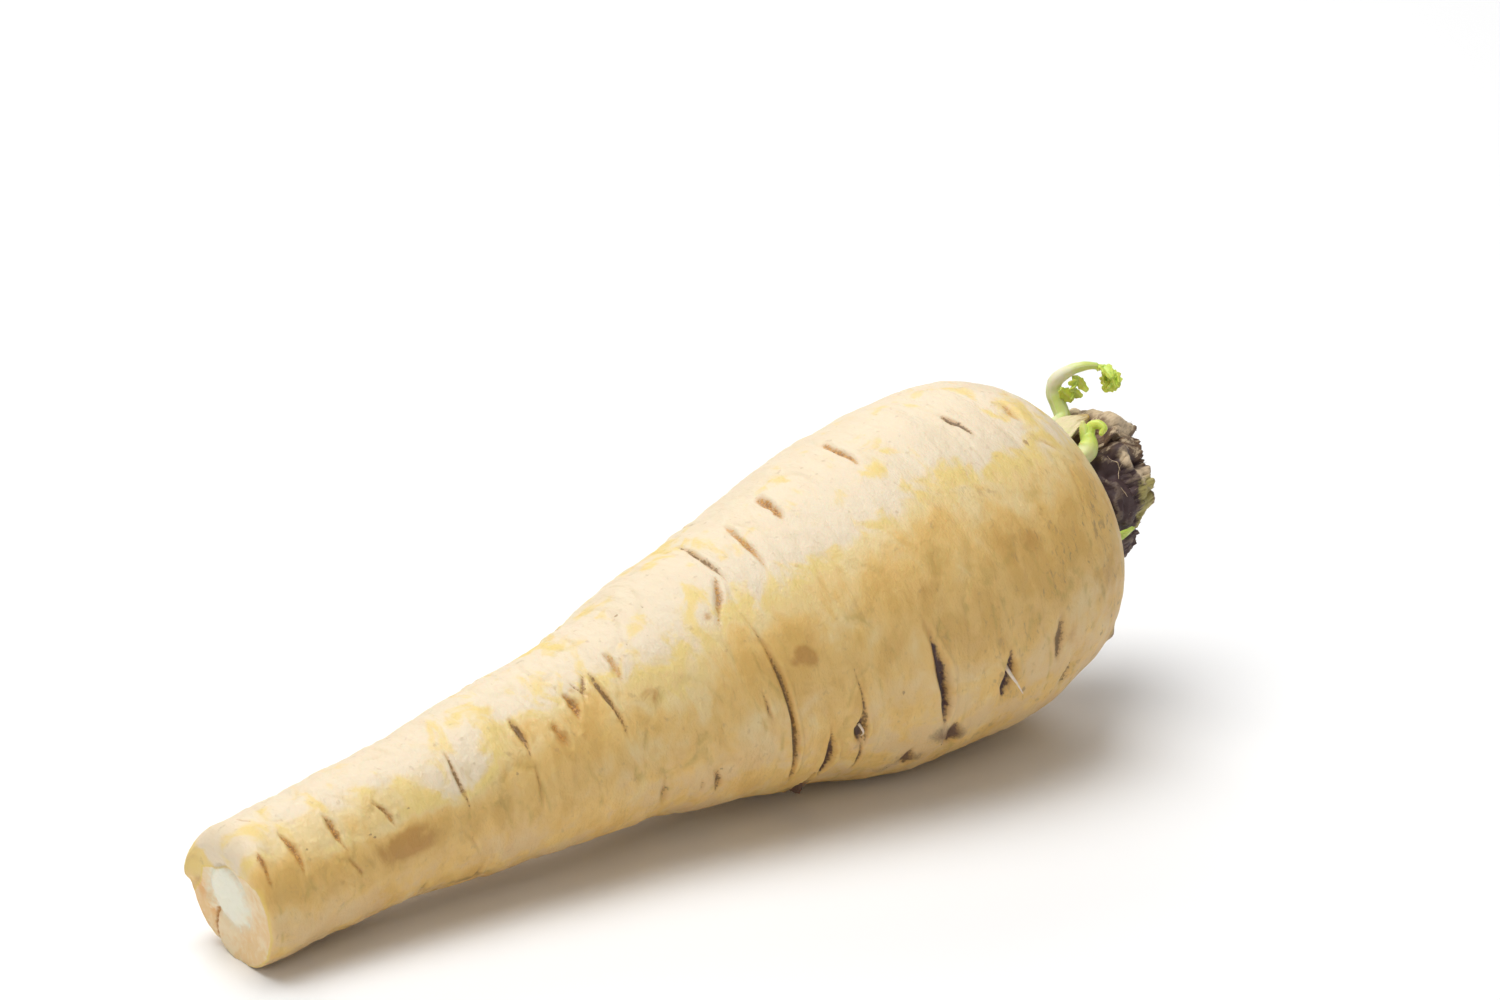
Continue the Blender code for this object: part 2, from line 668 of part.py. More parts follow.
def make_small_scale(name, shape, material):
    """A thin scale that stands by itself in the hollow and narrows to a point."""
    pointed = []
    for i, row in enumerate(scale_rows(*shape, STUB_FOOT, 0, 0)):
        middle = (row[0] + row[-1]) / 2
        narrow = 1 - SMALL_SCALE_POINT * (i / SCALE_UP) ** 3
        pointed.append([middle + (point - middle) * narrow for point in row])
    return finish(blade(name, pointed, lambda i, j: SMALL_SCALE_THICKNESS), material)


def leaflet_rows(root, ahead, out_side, length, half_width, roll):
    """The middle surface of a toothed leaflet that starts at root."""
    tilt = math.radians(roll)
    side = out_side * math.cos(tilt) + ahead.cross(out_side) * math.sin(tilt)
    run = (ahead * LEAFLET_AHEAD + side * LEAFLET_ASIDE).normalized()
    width_way = run.cross(ahead.cross(side)).normalized()
    up = run.cross(width_way)
    steps = 2 * LEAFLET_TEETH
    rows = []
    for i in range(steps + 1):
        share = i / steps
        outline = math.sin(math.pi * (LEAFLET_FROM + LEAFLET_SPAN * share)) ** LEAFLET_ROUNDNESS
        half = half_width * MM * outline * (1 - TOOTH_DEPTH * (i % 2))
        middle = root + run * (length * MM * share) - up * (LEAFLET_DROOP * share**2)
        rise = up * half * LEAFLET_FOLD
        rows.append([middle - width_way * half + rise, middle, middle + width_way * half + rise])
    return rows


def leaf_pieces(name, route, radius, leaflets):
    """A rib and the leaflets along it, each a closed body."""
    rib = [beside_crown(*place) for place in route]
    last = len(rib) - 1
    pieces = [tube(name, rib, [radius * MM * (1 - RIB_TAPER * k / last) for k in range(last + 1)], RIB_SIDES)]
    for k, (place, side, length, half_width, roll) in enumerate(leaflets):
        i = min(int(place * last), last - 1)
        root = rib[i].lerp(rib[i + 1], place * last - i)
        ahead = (rib[i + 1] - rib[i]).normalized()
        out_side = ahead.cross(NEAR.cross(ahead)).normalized() * side
        rows = leaflet_rows(root, ahead, out_side, length, half_width, roll)
        pieces.append(blade(f"{name}_blade_{k + 1}", rows, lambda i, j: LEAFLET_THICKNESS))
    return pieces


def make_leaves(material):
    """The young leaf at the end of the hooked stalk, and the leaflet that hangs beside it."""
    fuse("hooked_leaf", leaf_pieces("leaf_rib", LEAF_RIB, LEAF_RIB_RADIUS, LEAFLETS), material)
    hanging = leaf_pieces("leaflet_rib", LEAFLET_STALK, LEAFLET_STALK_RADIUS, HANGING_BLADES)
    fuse("side_leaflet", hanging, material)


def make_forked_shoot(material):
    pieces = [
        shoot("fork_stem", FORKED_STEM, FORKED_STEM_RADII),
        shoot("fork_left", FORK_LEFT, FORK_LEFT_RADII),
        shoot("fork_right", FORK_RIGHT, FORK_RIGHT_RADII),
    ]
    return fuse("forked_shoot", pieces, material)


def main():
    clear_scene()
    materials = {name: principled(name) for name in COLOURS}
    make_taproot(materials["parsnip_skin"])
    make_crown_stub(materials["withered_leaf_base"])
    finish(shoot("hooked_stalk", HOOKED_STALK, HOOKED_RADII), materials["shoot_stalk"])
    make_leaves(materials["young_leaf"])
    make_forked_shoot(materials["young_leaf"])
    make_small_scale("bud_sheath", SHEATH, materials["dry_sheath"])
    make_small_scale("green_bud", BUD, materials["young_leaf"])


main()
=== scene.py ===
"""A parsnip lying on its side: its skin, its withered leaf bases and its young shoots.

Lengths are in millimetres up to the point where a mesh is made. A place on the root is its distance along
the axis from the cut tip, its distance from the axis and its angle round it: 0 on top, 90 degrees on the
-Y side. A place by the crown is how far out it is from the crest, towards -Y, and up.
"""

import math
import random

import bmesh
import bpy
import numpy as np
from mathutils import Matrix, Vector, noise


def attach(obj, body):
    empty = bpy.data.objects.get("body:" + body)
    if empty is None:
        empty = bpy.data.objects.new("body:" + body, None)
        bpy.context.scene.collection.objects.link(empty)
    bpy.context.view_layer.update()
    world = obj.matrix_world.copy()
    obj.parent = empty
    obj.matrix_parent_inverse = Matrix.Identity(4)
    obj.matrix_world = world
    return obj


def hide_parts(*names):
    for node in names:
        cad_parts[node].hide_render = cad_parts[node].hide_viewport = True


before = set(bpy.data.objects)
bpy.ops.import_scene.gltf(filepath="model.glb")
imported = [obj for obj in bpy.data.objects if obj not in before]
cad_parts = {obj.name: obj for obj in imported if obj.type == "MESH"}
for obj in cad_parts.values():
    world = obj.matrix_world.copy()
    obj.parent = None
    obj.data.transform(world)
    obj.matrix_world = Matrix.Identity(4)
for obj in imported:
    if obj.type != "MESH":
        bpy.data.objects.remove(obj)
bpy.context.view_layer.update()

MM = 0.001

# The root's lie and its form, as in the solids.
LEAN = math.radians(7.7)
TIP_CENTRE = np.array([-97.55, 0.0, 11.45])
AXIS = np.array([math.cos(LEAN), 0.0, math.sin(LEAN)])
UP = np.array([-math.sin(LEAN), 0.0, math.cos(LEAN)])
NEAR = np.array([0.0, -1.0, 0.0])

STATIONS = (0, 15, 35, 55, 75, 90, 105, 120, 135, 154)
RADII = (12.2, 12.3, 13.6, 15.6, 17.7, 20.9, 24.1, 27.5, 30.3, 31.0)
SHOULDER_AT, SHOULDER_RADIUS = 154.0, 31.0
DOME_HEIGHT, DOME_POWER = 26.0, 3.0
CREST_RADIUS = 18.6
CREST_AT = SHOULDER_AT + DOME_HEIGHT * (1 - (CREST_RADIUS / SHOULDER_RADIUS) ** DOME_POWER) ** (1 / DOME_POWER)
HOLLOW_DEPTH = 4.6
HOLLOW_WALL = [(0.0, 18.6), (0.08, 17.9), (0.4, 17.4), (0.85, 17.0), (1.0, 16.4), (1.0, 8.0)]

# The cut face: a shallow dish with a raised core, a rim that is worn round above, and a nib on its far side.
FACE_DISH = 0.9
# Unevenness of the face: height, how fine it is, and its seed.
FACE_GRAINS = [(0.25, 4, 0.0), (0.12, 15, 7.7)]
CORE_SHARE, CORE_HEIGHT, CORE_GROOVE, GROOVE_SHARE, CORE_ASIDE = 0.46, 0.22, 0.45, 0.07, -0.1
RIM_ROUND, WORN_RIM_ROUND, WORN_ANGLE, WORN_SPREAD = 0.7, 4.6, 0.0, 52.0
NIB_ANGLE, NIB_ABOVE, NIB_BELOW, NIB_HEIGHT, NIB_FROM_SHARE = -84.0, 24.0, 8.0, 1.1, 0.72
# Skin that rolls over the rim: the middle angle, half spread and share of the radius, above and at the nib.
ROLLED_SKIN = [(-12.0, 66.0, 0.56), (-74.0, 26.0, 0.3)]
FACE_CRACK = (0.6, -127.0, 1.02, -152.0)
FACE_CRACK_WIDTH, FACE_CRACK_START, FACE_CRACK_DEPTH = 0.05, 0.06, 0.6
# Bumps and patches of the face: share of the radius, angle, half share, half spread, strength.
FACE_BUMPS = [(0.66, -112, 0.09, 9, 0.55), (0.85, 150, 0.1, 25, 0.3), (0.75, 60, 0.1, 20, 0.25)]
FACE_PATCHES = [
    (0.76, -98, 0.13, 17, 1.0), (0.68, -128, 0.1, 10, 0.8), (0.9, 100, 0.06, 40, 0.5), (0.8, 200, 0.1, 25, 0.3),
]

# Unevenness of the skin: height, length along the root, turns and seed.
SWELLS = (0.65, 26.0, 1.1, 3.1)
WRINKLES = (0.30, 5.5, 1.5, 8.7)
FINE_WRINKLES = (0.17, 1.9, 2.6, 21.0)
PIMPLES = (0.09, 1.3, 14.0, 40.0)
# Fine ring lines: depth, length of their noise, turns, seed, and how narrow they are. Then where they fade.
RING_LINES = (0.16, 5.0, 1.7, 55.0, 0.07)
RING_LINE_GAPS = (1.6, 14.0, 1.3, 70.0)
CREASES = (41.5, 53.5, 77.0, 87.5, 99.5)
CREASE_DEPTH, CREASE_WIDTH, CREASE_SHIFT = 0.35, 1.6, 1.7
# Bulges and knobs: station, angle, half length, half spread, height.
BULGES = [
    (67, -35, 10, 60, -0.9), (88, -40, 11, 60, 0.8), (31, 146, 4, 45, -0.6), (67, 150, 15, 60, 0.6),
    (96, 155, 6, 50, -0.5), (111, 157, 6, 50, -0.8), (127, 157, 7, 45, 0.6), (149, 146, 9, 40, 0.7),
    (167, 134, 7, 28, -1.3), (174, 40, 6, 24, -0.7), (76, -14, 3, 34, 0.4),
]
KNOBS = [
    (106.2, 148, 0.9, 3.4, 1.3), (129.5, 121, 1.3, 2.5, 0.5), (133.5, 124, 1.0, 2.2, 0.5),
    (126.0, 133, 1.2, 2.5, 0.6), (171.0, 119, 1.0, 3.0, 0.8), (120.5, 139, 1.0, 3.0, 0.4),
    (13.0, 46, 0.6, 3.0, 0.25), (63.5, 57, 0.7, 2.5, 0.3), (74.6, 101, 0.6, 2.0, 0.25),
    (52.0, 60, 0.6, 2.5, 0.2), (27.5, 52, 0.6, 2.5, 0.25),
]

# Furrows: start and end station, first and last angle, half width, depth, how dark it is, and its hue,
# from -1 for orange-brown to 1 for purple.
FURROWS = [
    (2.7, 2.5, 30, 66, 0.6, 0.5, 0.85, -0.6), (5.6, 6.2, -16, 2, 0.4, 0.3, 0.6, -0.5),
    (8.7, 8.9, 22, 68, 0.6, 0.55, 0.85, -0.5), (16.4, 17.4, 26, 64, 0.6, 0.55, 0.85, -0.4),
    (17.0, 18.4, 62, 86, 0.5, 0.4, 0.7, -0.5), (25.2, 27.1, 36, 62, 0.55, 0.5, 0.8, -0.3),
    (31.0, 31.0, 116, 140, 0.8, 0.5, 0.5, 0.2), (37.8, 40.8, 74, 110, 0.5, 0.3, 0.3, 0.0),
    (41.6, 41.6, 120, 144, 0.7, 0.45, 0.6, 0.5), (40.7, 39.8, 26, 74, 0.5, 0.5, 0.8, 0.0),
    (54.2, 53.4, 25, 60, 0.55, 0.6, 0.9, 0.0), (53.5, 53.0, 48, 92, 0.4, 0.35, 0.5, -0.1),
    (59.7, 60.4, 42, 63, 0.9, 0.5, 0.7, -1.0), (64.8, 64.8, 29, 50, 0.75, 0.7, 1.0, -0.5),
    (69.7, 66.8, 22, 42, 0.45, 0.4, 0.8, -0.1),
    (70.7, 70.9, 24, 72, 0.5, 0.7, 0.9, 0.0), (75.0, 74.6, 18, 42, 0.7, 0.4, 0.65, -0.8),
    (76.5, 77.5, 98, 127, 0.8, 0.5, 0.5, 0.2), (86.2, 87.2, 103, 126, 0.8, 0.65, 0.8, 0.1),
    (94.9, 96.9, 70, 90, 0.5, 0.4, 0.65, 0.0), (100.7, 99.8, -16, 25, 0.4, 0.45, 0.85, 0.0),
    (99.6, 93.2, 16, 41, 0.75, 0.5, 0.8, -0.4), (97.8, 102.2, 30, 136, 0.6, 1.2, 1.0, 0.0),
    (108.5, 106.5, -6, 29, 0.6, 0.5, 0.85, -0.7), (107.5, 108.8, 97, 138, 0.8, 1.2, 1.0, 0.8),
    (108.4, 104.6, 126, 153, 0.9, 1.1, 1.0, 0.8), (117.2, 115.3, -9, 13, 0.8, 0.75, 1.0, -0.6),
    (111.8, 115.2, 70, 120, 0.4, 0.5, 0.8, 0.1), (113.3, 113.5, 98, 116, 1.0, 1.5, 1.0, 0.8),
    (114.0, 114.8, 108, 137, 0.5, 0.5, 0.85, 0.5), (106.8, 105.4, 134, 158, 1.2, 0.2, 1.0, 0.9),
    (124.9, 124.9, 125, 139, 1.2, 0.8, 1.0, 0.5), (126.2, 130.2, 66, 118, 1.0, 1.7, 1.0, 1.0),
    (131.8, 132.9, 115, 131, 1.5, 1.0, 1.0, 0.7), (133.7, 132.7, -12, 12, 0.6, 0.45, 0.8, -0.5),
    (142.8, 141.2, 90, 113, 1.2, 1.6, 1.0, 1.0), (154.2, 153.0, 86, 107, 1.1, 0.8, 0.9, 0.1),
    (153.0, 154.0, 7, 23, 0.7, 0.55, 0.9, 0.2), (157.7, 156.3, 107, 123, 0.9, 0.6, 0.65, 0.1),
    (164.7, 164.0, 12, 25, 1.0, 0.45, 0.6, -0.5), (164.2, 167.3, 31, 41, 0.5, 0.3, 0.5, -0.2),
    (166.9, 164.4, 41, 70, 0.4, 0.3, 0.45, -0.2), (66.6, 68.6, 24, 42, 0.35, 0.25, 0.7, 0.0),
    (83.4, 83.8, 108, 122, 0.4, 0.3, 0.5, 0.0), (156.6, 154.0, 52, 62, 0.4, 0.2, 0.35, -0.2),
]
FURROW_TAPER, FURROW_REACH, STAIN_TAPER = 0.9, 3.0, 0.5
FURROW_UNEVEN, FURROW_BEND, NARROWEST = 0.18, 0.2, 0.5
# Waves in a furrow's width: how many radians along it, its shift from furrow to furrow, and strength. Then
# the wave in its middle line.
WIDTH_WAVES = [(8, 1.7, 1.0), (19, 2.9, 0.6)]
BEND_WAVE, BEND_SHIFT = 6, 2.3
# Furrows that lie above this angle are deepest near their upper end, and the others near their lower end.
SKEW_TURNS_AT, UPPER_SKEW, LOWER_SKEW = 70.0, 0.8, 1.6
LIP_AT, LIP_SHARE, LIP_SHARPNESS = 1.7, 0.35, 3.0
HIDDEN_FROM, HIDDEN_TO = 156.0, 346.0
HIDDEN_STATIONS = (6.0, 166.0)
HIDDEN_ROWS = (205.0, 295.0)
HIDDEN_SCATTER = 20.0
HIDDEN_HALF_SPREAD = (7.0, 24.0)
HIDDEN_SLANT = 1.2
HIDDEN_WIDTH = (0.5, 1.1)
HIDDEN_DEPTH_SHARE = (0.6, 1.2)
HIDDEN_COUNT, HIDDEN_SEED = 30, 11

# Coloured patches on the skin: station, angle, half length, half spread, strength.
GOLDEN_PATCHES = [
    (131, 52, 14, 15, 0.9), (104, 66, 7, 11, 0.8), (29, 74, 8, 13, 1.1), (42, 47, 6, 12, -0.5),
    (78, 60, 7, 9, -0.5), (62, 62, 6, 12, 0.7), (6, 60, 7, 18, 0.5), (150, 70, 12, 16, 0.7),
    (126, 26, 10, 8, -0.5), (150, 26, 8, 9, -0.5), (40, 92, 16, 22, 0.3), (102, 26, 6, 8, -0.4),
    (16, 56, 6, 8, -0.5), (138, 60, 5, 8, -0.4), (46, 250, 18, 30, 0.6), (120, 230, 20, 28, 0.7),
    (86, 300, 12, 30, 0.5), (150, 285, 14, 30, 0.6), (14, 200, 10, 40, 0.5), (14, 22, 4, 8, 0.4),
    (33, 30, 4, 8, 0.3), (165, 52, 8, 16, 0.5), (30, 58, 12, 9, -0.6), (42, 60, 6, 22, -0.6),
    (66, 43, 5, 9, 0.9), (54, 36, 5, 12, 0.8), (18, 32, 8, 16, 0.6), (6, 14, 6, 24, 0.6),
    (114, 56, 5, 10, -0.6), (132, 78, 9, 9, 0.7), (150, 46, 5, 8, 0.5), (102, 60, 5, 7, 0.6),
]
BROWN_PATCHES = [
    (104.0, 65.5, 2.0, 3.0, 1.4), (105.6, 69, 1.3, 4.0, 1.2), (102.6, 68, 0.9, 2.0, 0.8), (27, 76, 6, 10, 1.9),
    (60, 54, 2.0, 7, 1.0), (93, 33, 1.5, 3, 0.7), (66, 30, 1.4, 3, 0.6), (77, 54, 2.0, 6, 1.1),
    (150, 60, 8, 9, 0.6), (128, 62, 6, 7, 0.5), (156, 98, 3, 6, 0.5), (160, 112, 4, 8, 0.5),
    (12, 84, 5, 12, 0.5), (45, 74, 5, 9, 0.4), (88, 70, 5, 9, 0.4), (138, 92, 7, 12, 0.4),
    (166, 84, 7, 14, 0.5), (35, 215, 9, 14, 0.6), (72, 262, 8, 12, 0.5), (132, 215, 9, 12, 0.6),
]
DIRT_PATCHES = [
    (106.0, 145, 2.4, 7, 1.6), (129.5, 121, 3.2, 5, 1.0), (133.0, 125, 2.6, 5, 1.1), (125, 133, 3.6, 5, 1.0),
    (171, 119, 1.8, 6, 0.9), (120.5, 139, 2.4, 4, 0.7), (166, 128, 5, 8, 0.5), (40, 139, 6, 6, 0.9),
    (90, 146, 9, 6, 0.4), (140, 240, 4, 6, 0.7), (60, 205, 5, 8, 0.5), (12, 132, 4, 8, 0.4),
]
# Dots: station, angle, radius. They are as long as they are wide at this distance from the axis.
DOTS = [
    (161.6, 32, 0.6), (86, 8, 0.4), (82, 2, 0.4), (79, 22, 0.4), (50, 62, 0.45), (87, 108, 0.4), (11, 47, 0.4),
    (22, 58, 0.4), (22.6, 61, 0.35), (30, 52, 0.4), (146, 113, 0.6), (165, 108, 0.5), (168, 104, 0.5),
    (121, 96, 0.4),
]
ROUND_DOTS_AT = 20.0

# Fineness of the root's mesh: closer angles on the -Y side, where the furrows are.
FINE_FROM, FINE_TO, FINE_COUNT, COARSE_COUNT = -45.0, 160.0, 118, 42
SIDE_START, SIDE_FADE, SIDE_COUNT, DOME_COUNT, HOLLOW_COUNT = 0.15, 3.0, 510, 50, 20
# First and last place and number of the rings: shares of the flat part of the face, and degrees round the rim.
FACE_RINGS, RIM_RINGS = (0.03, 1, 26), (12, 84, 7)
DOME_CLOSENESS, ROLLED_EDGE = 1.5, 0.08
# From this share of the dome its relief fades to a part, which goes on into the hollow with its pleats.
DOME_SMOOTH_FROM, CREST_RELIEF = 0.45, 0.45
HOLLOW_PLEATS = (0.9, 3.0, 6.0, 90.0)
# The near and far flanks, painted darker and warmer than the top: partly the skin's own golden colour, partly
# painted shade from the light above. Where the turn from the palest line starts and how far it goes.
PALE_LINE, FLANK_START, FLANK_SPAN = math.radians(-20), 0.97, 1.0
# The pinkish underside begins at this cosine, and the scuffs near the crown at this station.
LOW_START, LOW_SPAN = 0.3, 0.9
SHOULDER_SCUFFS_FROM, SHOULDER_SCUFFS_SPAN = 110.0, 50.0


def smooth_step(value):
    value = np.clip(value, 0.0, 1.0)
    return value * value * (3 - 2 * value)


def bell(away):
    """1 in the middle, falling away on both sides."""
    return np.exp(-away * away)


def noise_at(points):
    """Smooth noise between -1 and 1 at each point of an array."""
    flat = np.ascontiguousarray(points, float).reshape(-1, 3).tolist()
    return np.array([noise.noise(point) for point in flat]).reshape(points.shape[:-1])


def place_array(*parts):
    return np.stack(np.broadcast_arrays(*parts), -1)


def on_root(along, radius, angle):
    """Points at distances along the axis and from it, and at angles in radians."""
    along, radius, angle = np.broadcast_arrays(along, radius, angle)
    side = radius[..., None] * (np.cos(angle)[..., None] * UP + np.sin(angle)[..., None] * NEAR)
    return TIP_CENTRE + along[..., None] * AXIS + side


def beside_crown(place):
    out, near, up = place
    return TIP_CENTRE + AXIS * (CREST_AT + out) + NEAR * near + UP * up


def curve_through(places, values, at):
    """The smooth curve through the values at those places, level at its last one."""
    places, values = np.array(places, float), np.array(values, float)
    slopes = np.gradient(values, places)
    slopes[1:-1] = (values[2:] - values[:-2]) / (places[2:] - places[:-2])
    slopes[-1] = 0.0
    i = np.clip(np.searchsorted(places, at, side="right") - 1, 0, len(places) - 2)
    span = places[i + 1] - places[i]
    t = (at - places[i]) / span
    return (
        (2 * t**3 - 3 * t**2 + 1) * values[i] + (t**3 - 2 * t**2 + t) * span * slopes[i]
        + (3 * t**2 - 2 * t**3) * values[i + 1] + (t**3 - t**2) * span * slopes[i + 1]
    )


def turned(degrees, middle):
    """Angles measured from another one, between -180 and 180 degrees."""
    return (degrees - middle + 180) % 360 - 180


def blotches(along, degrees, patches):
    """Soft patches, each a rounded hill of its strength."""
    total = np.zeros(np.broadcast(along, degrees).shape)
    for station, middle, length, spread, strength in patches:
        away = ((along - station) / length) ** 2 + (turned(degrees, middle) / spread) ** 2
        total = total + strength * np.exp(-away)
    return total


def hidden_furrows():
    """Furrows of the far side and the underside, in two loose rows."""
    draw = random.Random(HIDDEN_SEED)
    first, last = HIDDEN_STATIONS
    found = []
    for k in range(HIDDEN_COUNT):
        station = first + (last - first) * (k + draw.random()) / HIDDEN_COUNT
        half = draw.uniform(*HIDDEN_HALF_SPREAD)
        middle = HIDDEN_ROWS[k % 2] + draw.uniform(-HIDDEN_SCATTER, HIDDEN_SCATTER)
        middle = min(max(middle, HIDDEN_FROM + half), HIDDEN_TO - half)
        slant = draw.uniform(-HIDDEN_SLANT, HIDDEN_SLANT)
        width = draw.uniform(*HIDDEN_WIDTH)
        depth = width * draw.uniform(*HIDDEN_DEPTH_SHARE)
        dark = 0.5 + 0.5 * (depth / HIDDEN_WIDTH[1]) ** 2
        ends = station - slant, station + slant, middle - half, middle + half
        found.append((*ends, width, depth, dark, dark - 0.5))
    return found


def furrow_marks(along, degrees):
    """The furrows' relief, how dark the skin is in them, and how purple."""
    relief, dark, purple = (np.zeros_like(along) for _ in range(3))
    for k, (start, end, first, last, width, depth, darkness, hue) in enumerate(FURROWS + hidden_furrows()):
        half_turn = (last - first) / 2
        share = np.clip((turned(degrees, first + half_turn) + half_turn) / (2 * half_turn), 0, 1)
        wave = sum(strength * np.sin(radians * share + shift * k) for radians, shift, strength in WIDTH_WAVES)
        between = np.sin(math.pi * share ** (UPPER_SKEW if first + half_turn < SKEW_TURNS_AT else LOWER_SKEW))
        width = width * (1 + FURROW_UNEVEN * wave) * (NARROWEST + (1 - NARROWEST) * between)
        middle = start + (end - start) * share + FURROW_BEND * np.sin(BEND_WAVE * share + BEND_SHIFT * k)
        across = np.abs(along - middle) / width
        lip = LIP_SHARE * np.exp(-LIP_SHARPNESS * (across - LIP_AT) ** 2)
        sunk = depth * between**FURROW_TAPER * (bell(across) - lip)
        relief -= np.where(across < FURROW_REACH, sunk, 0)
        shade = darkness * between**STAIN_TAPER * bell(across)
        purple = np.where(shade > dark, hue, purple)
        dark = np.maximum(dark, shade)
    return relief, dark, purple


def ripple(along, angle, height, length, turns, seed):
    place = place_array(along / length, turns * np.cos(angle) + seed, turns * np.sin(angle))
    return height * noise_at(place)


def skin_marks(along, angle):
    """How far the skin stands out from the smooth profile, and its darkness and hue in the furrows."""
    degrees = np.degrees(angle)
    form = sum(ripple(along, angle, *kind) for kind in (SWELLS, WRINKLES, FINE_WRINKLES, PIMPLES))
    for k, station in enumerate(CREASES):
        strength = (1 + np.sin(2 * angle + CREASE_SHIFT * k)) / 2
        form -= CREASE_DEPTH * strength * bell((along - station) / CREASE_WIDTH)
    depth, *lines, narrow = RING_LINES
    line = bell(ripple(along, angle, 1.0, *lines) / narrow)
    line *= smooth_step(0.5 + ripple(along, angle, *RING_LINE_GAPS))
    relief, dark, purple = furrow_marks(along, degrees)
    return form - depth * line + blotches(along, degrees, BULGES + KNOBS) + relief, dark, purple, line


def rim_round(angle):
    """The radius of the tip's rim, which is worn rounder on its upper side."""
    worn = bell(turned(np.degrees(angle), WORN_ANGLE) / WORN_SPREAD)
    return RIM_ROUND + (WORN_RIM_ROUND - RIM_ROUND) * worn


def face_crack(share, angle):
    """The crack that runs from the core to the rim of the cut face, from 0 to 1."""
    first_share, first_angle, last_share, last_angle = FACE_CRACK
    done = np.clip((share - first_share) / (last_share - first_share), 0, 1)
    middle = first_angle + (last_angle - first_angle) * done
    away = np.radians(turned(np.degrees(angle), middle)) * share / FACE_CRACK_WIDTH
    return smooth_step((share - first_share) / FACE_CRACK_START + 1) * bell(away)


def core_distance(share, angle):
    """Shares of the tip's radius from the middle of the core, which lies a little to the far side."""
    return np.hypot(share * np.cos(angle), share * np.sin(angle) - CORE_ASIDE)


def face_place(share, angle):
    """How far the cut face lies along the axis, at a share of the tip's radius."""
    degrees = np.degrees(angle)
    beyond_core = core_distance(share, angle) - CORE_SHARE
    groove = CORE_GROOVE * bell(beyond_core / GROOVE_SHARE)
    core = CORE_HEIGHT * smooth_step(-beyond_core / GROOVE_SHARE)
    away = turned(degrees, NIB_ANGLE)
    away = away / np.where(away > 0, NIB_ABOVE, NIB_BELOW)
    nib = NIB_HEIGHT * bell(away) * smooth_step((share - NIB_FROM_SHARE) / (1 - NIB_FROM_SHARE))
    up, near = share * np.cos(angle), share * np.sin(angle)
    rough = sum(height * noise_at(place_array(seed, fine * up, fine * near))
                for height, fine, seed in FACE_GRAINS)
    raised = core + nib + blotches(share, degrees, FACE_BUMPS)
    sunk = FACE_DISH * (1 - share**2) + groove + FACE_CRACK_DEPTH * face_crack(share, angle)
    return sunk - raised + rough


def ring_angles():
    fine = np.linspace(FINE_FROM, FINE_TO, FINE_COUNT, endpoint=False)
    coarse = np.linspace(FINE_TO, FINE_FROM + 360, COARSE_COUNT, endpoint=False)
    return np.radians(np.concatenate([fine, coarse]))


def taproot_blocks(angle):
    """Rings from the middle of the cut face to the hollow's floor: along, radius, kind and share of the way."""
    size = rim_round(angle)
    shares = np.linspace(*FACE_RINGS)[:, None] * (1 - size / RADII[0])
    yield face_place(shares, angle), shares * RADII[0], "face", shares
    turn = np.radians(np.linspace(*RIM_RINGS))[:, None]
    rim = face_place(1 + 0 * angle, angle) + size * (1 - np.cos(turn))
    yield rim, RADII[0] - size * (1 - np.sin(turn)), "rim", np.sin(turn) + 0 * angle
    start = rim[-1:] + SIDE_START
    along = start + (SHOULDER_AT - start) * np.linspace(0, 1, SIDE_COUNT)[:, None]
    yield along, curve_through(STATIONS, RADII, along), "side", (along - start) / SIDE_FADE
    crest = math.acos((CREST_RADIUS / SHOULDER_RADIUS) ** (DOME_POWER / 2))
    share = (np.arange(1, DOME_COUNT + 1) / DOME_COUNT)[:, None] ** DOME_CLOSENESS + 0 * angle
    along = SHOULDER_AT + DOME_HEIGHT * np.sin(crest * share) ** (2 / DOME_POWER)
    yield along, SHOULDER_RADIUS * np.cos(crest * share) ** (2 / DOME_POWER), "dome", share
    last = len(HOLLOW_WALL) - 1
    step = np.linspace(0, last, HOLLOW_COUNT + 1)[1:, None] + 0 * angle
    depth, radius = (np.interp(step, np.arange(last + 1), values) for values in np.array(HOLLOW_WALL).T)
    yield CREST_AT - HOLLOW_DEPTH * depth, radius, "hollow", step / last


def skin_coverage(kind, share, angle):
    """How much of a place is cut face rather than skin, from 0 to 1."""
    if kind not in ("face", "rim"):
        return 0.0
    rolled = np.maximum.reduce([width * bell((turned(np.degrees(angle), middle) / spread) ** 2)
                                for middle, spread, width in ROLLED_SKIN])
    flat_share = share if kind == "face" else 1 - rim_round(angle) / RADII[0]
    cut = 1 - smooth_step((flat_share - 1 + rolled) / ROLLED_EDGE + 0.5)
    return cut if kind == "face" else cut * (1 - share)


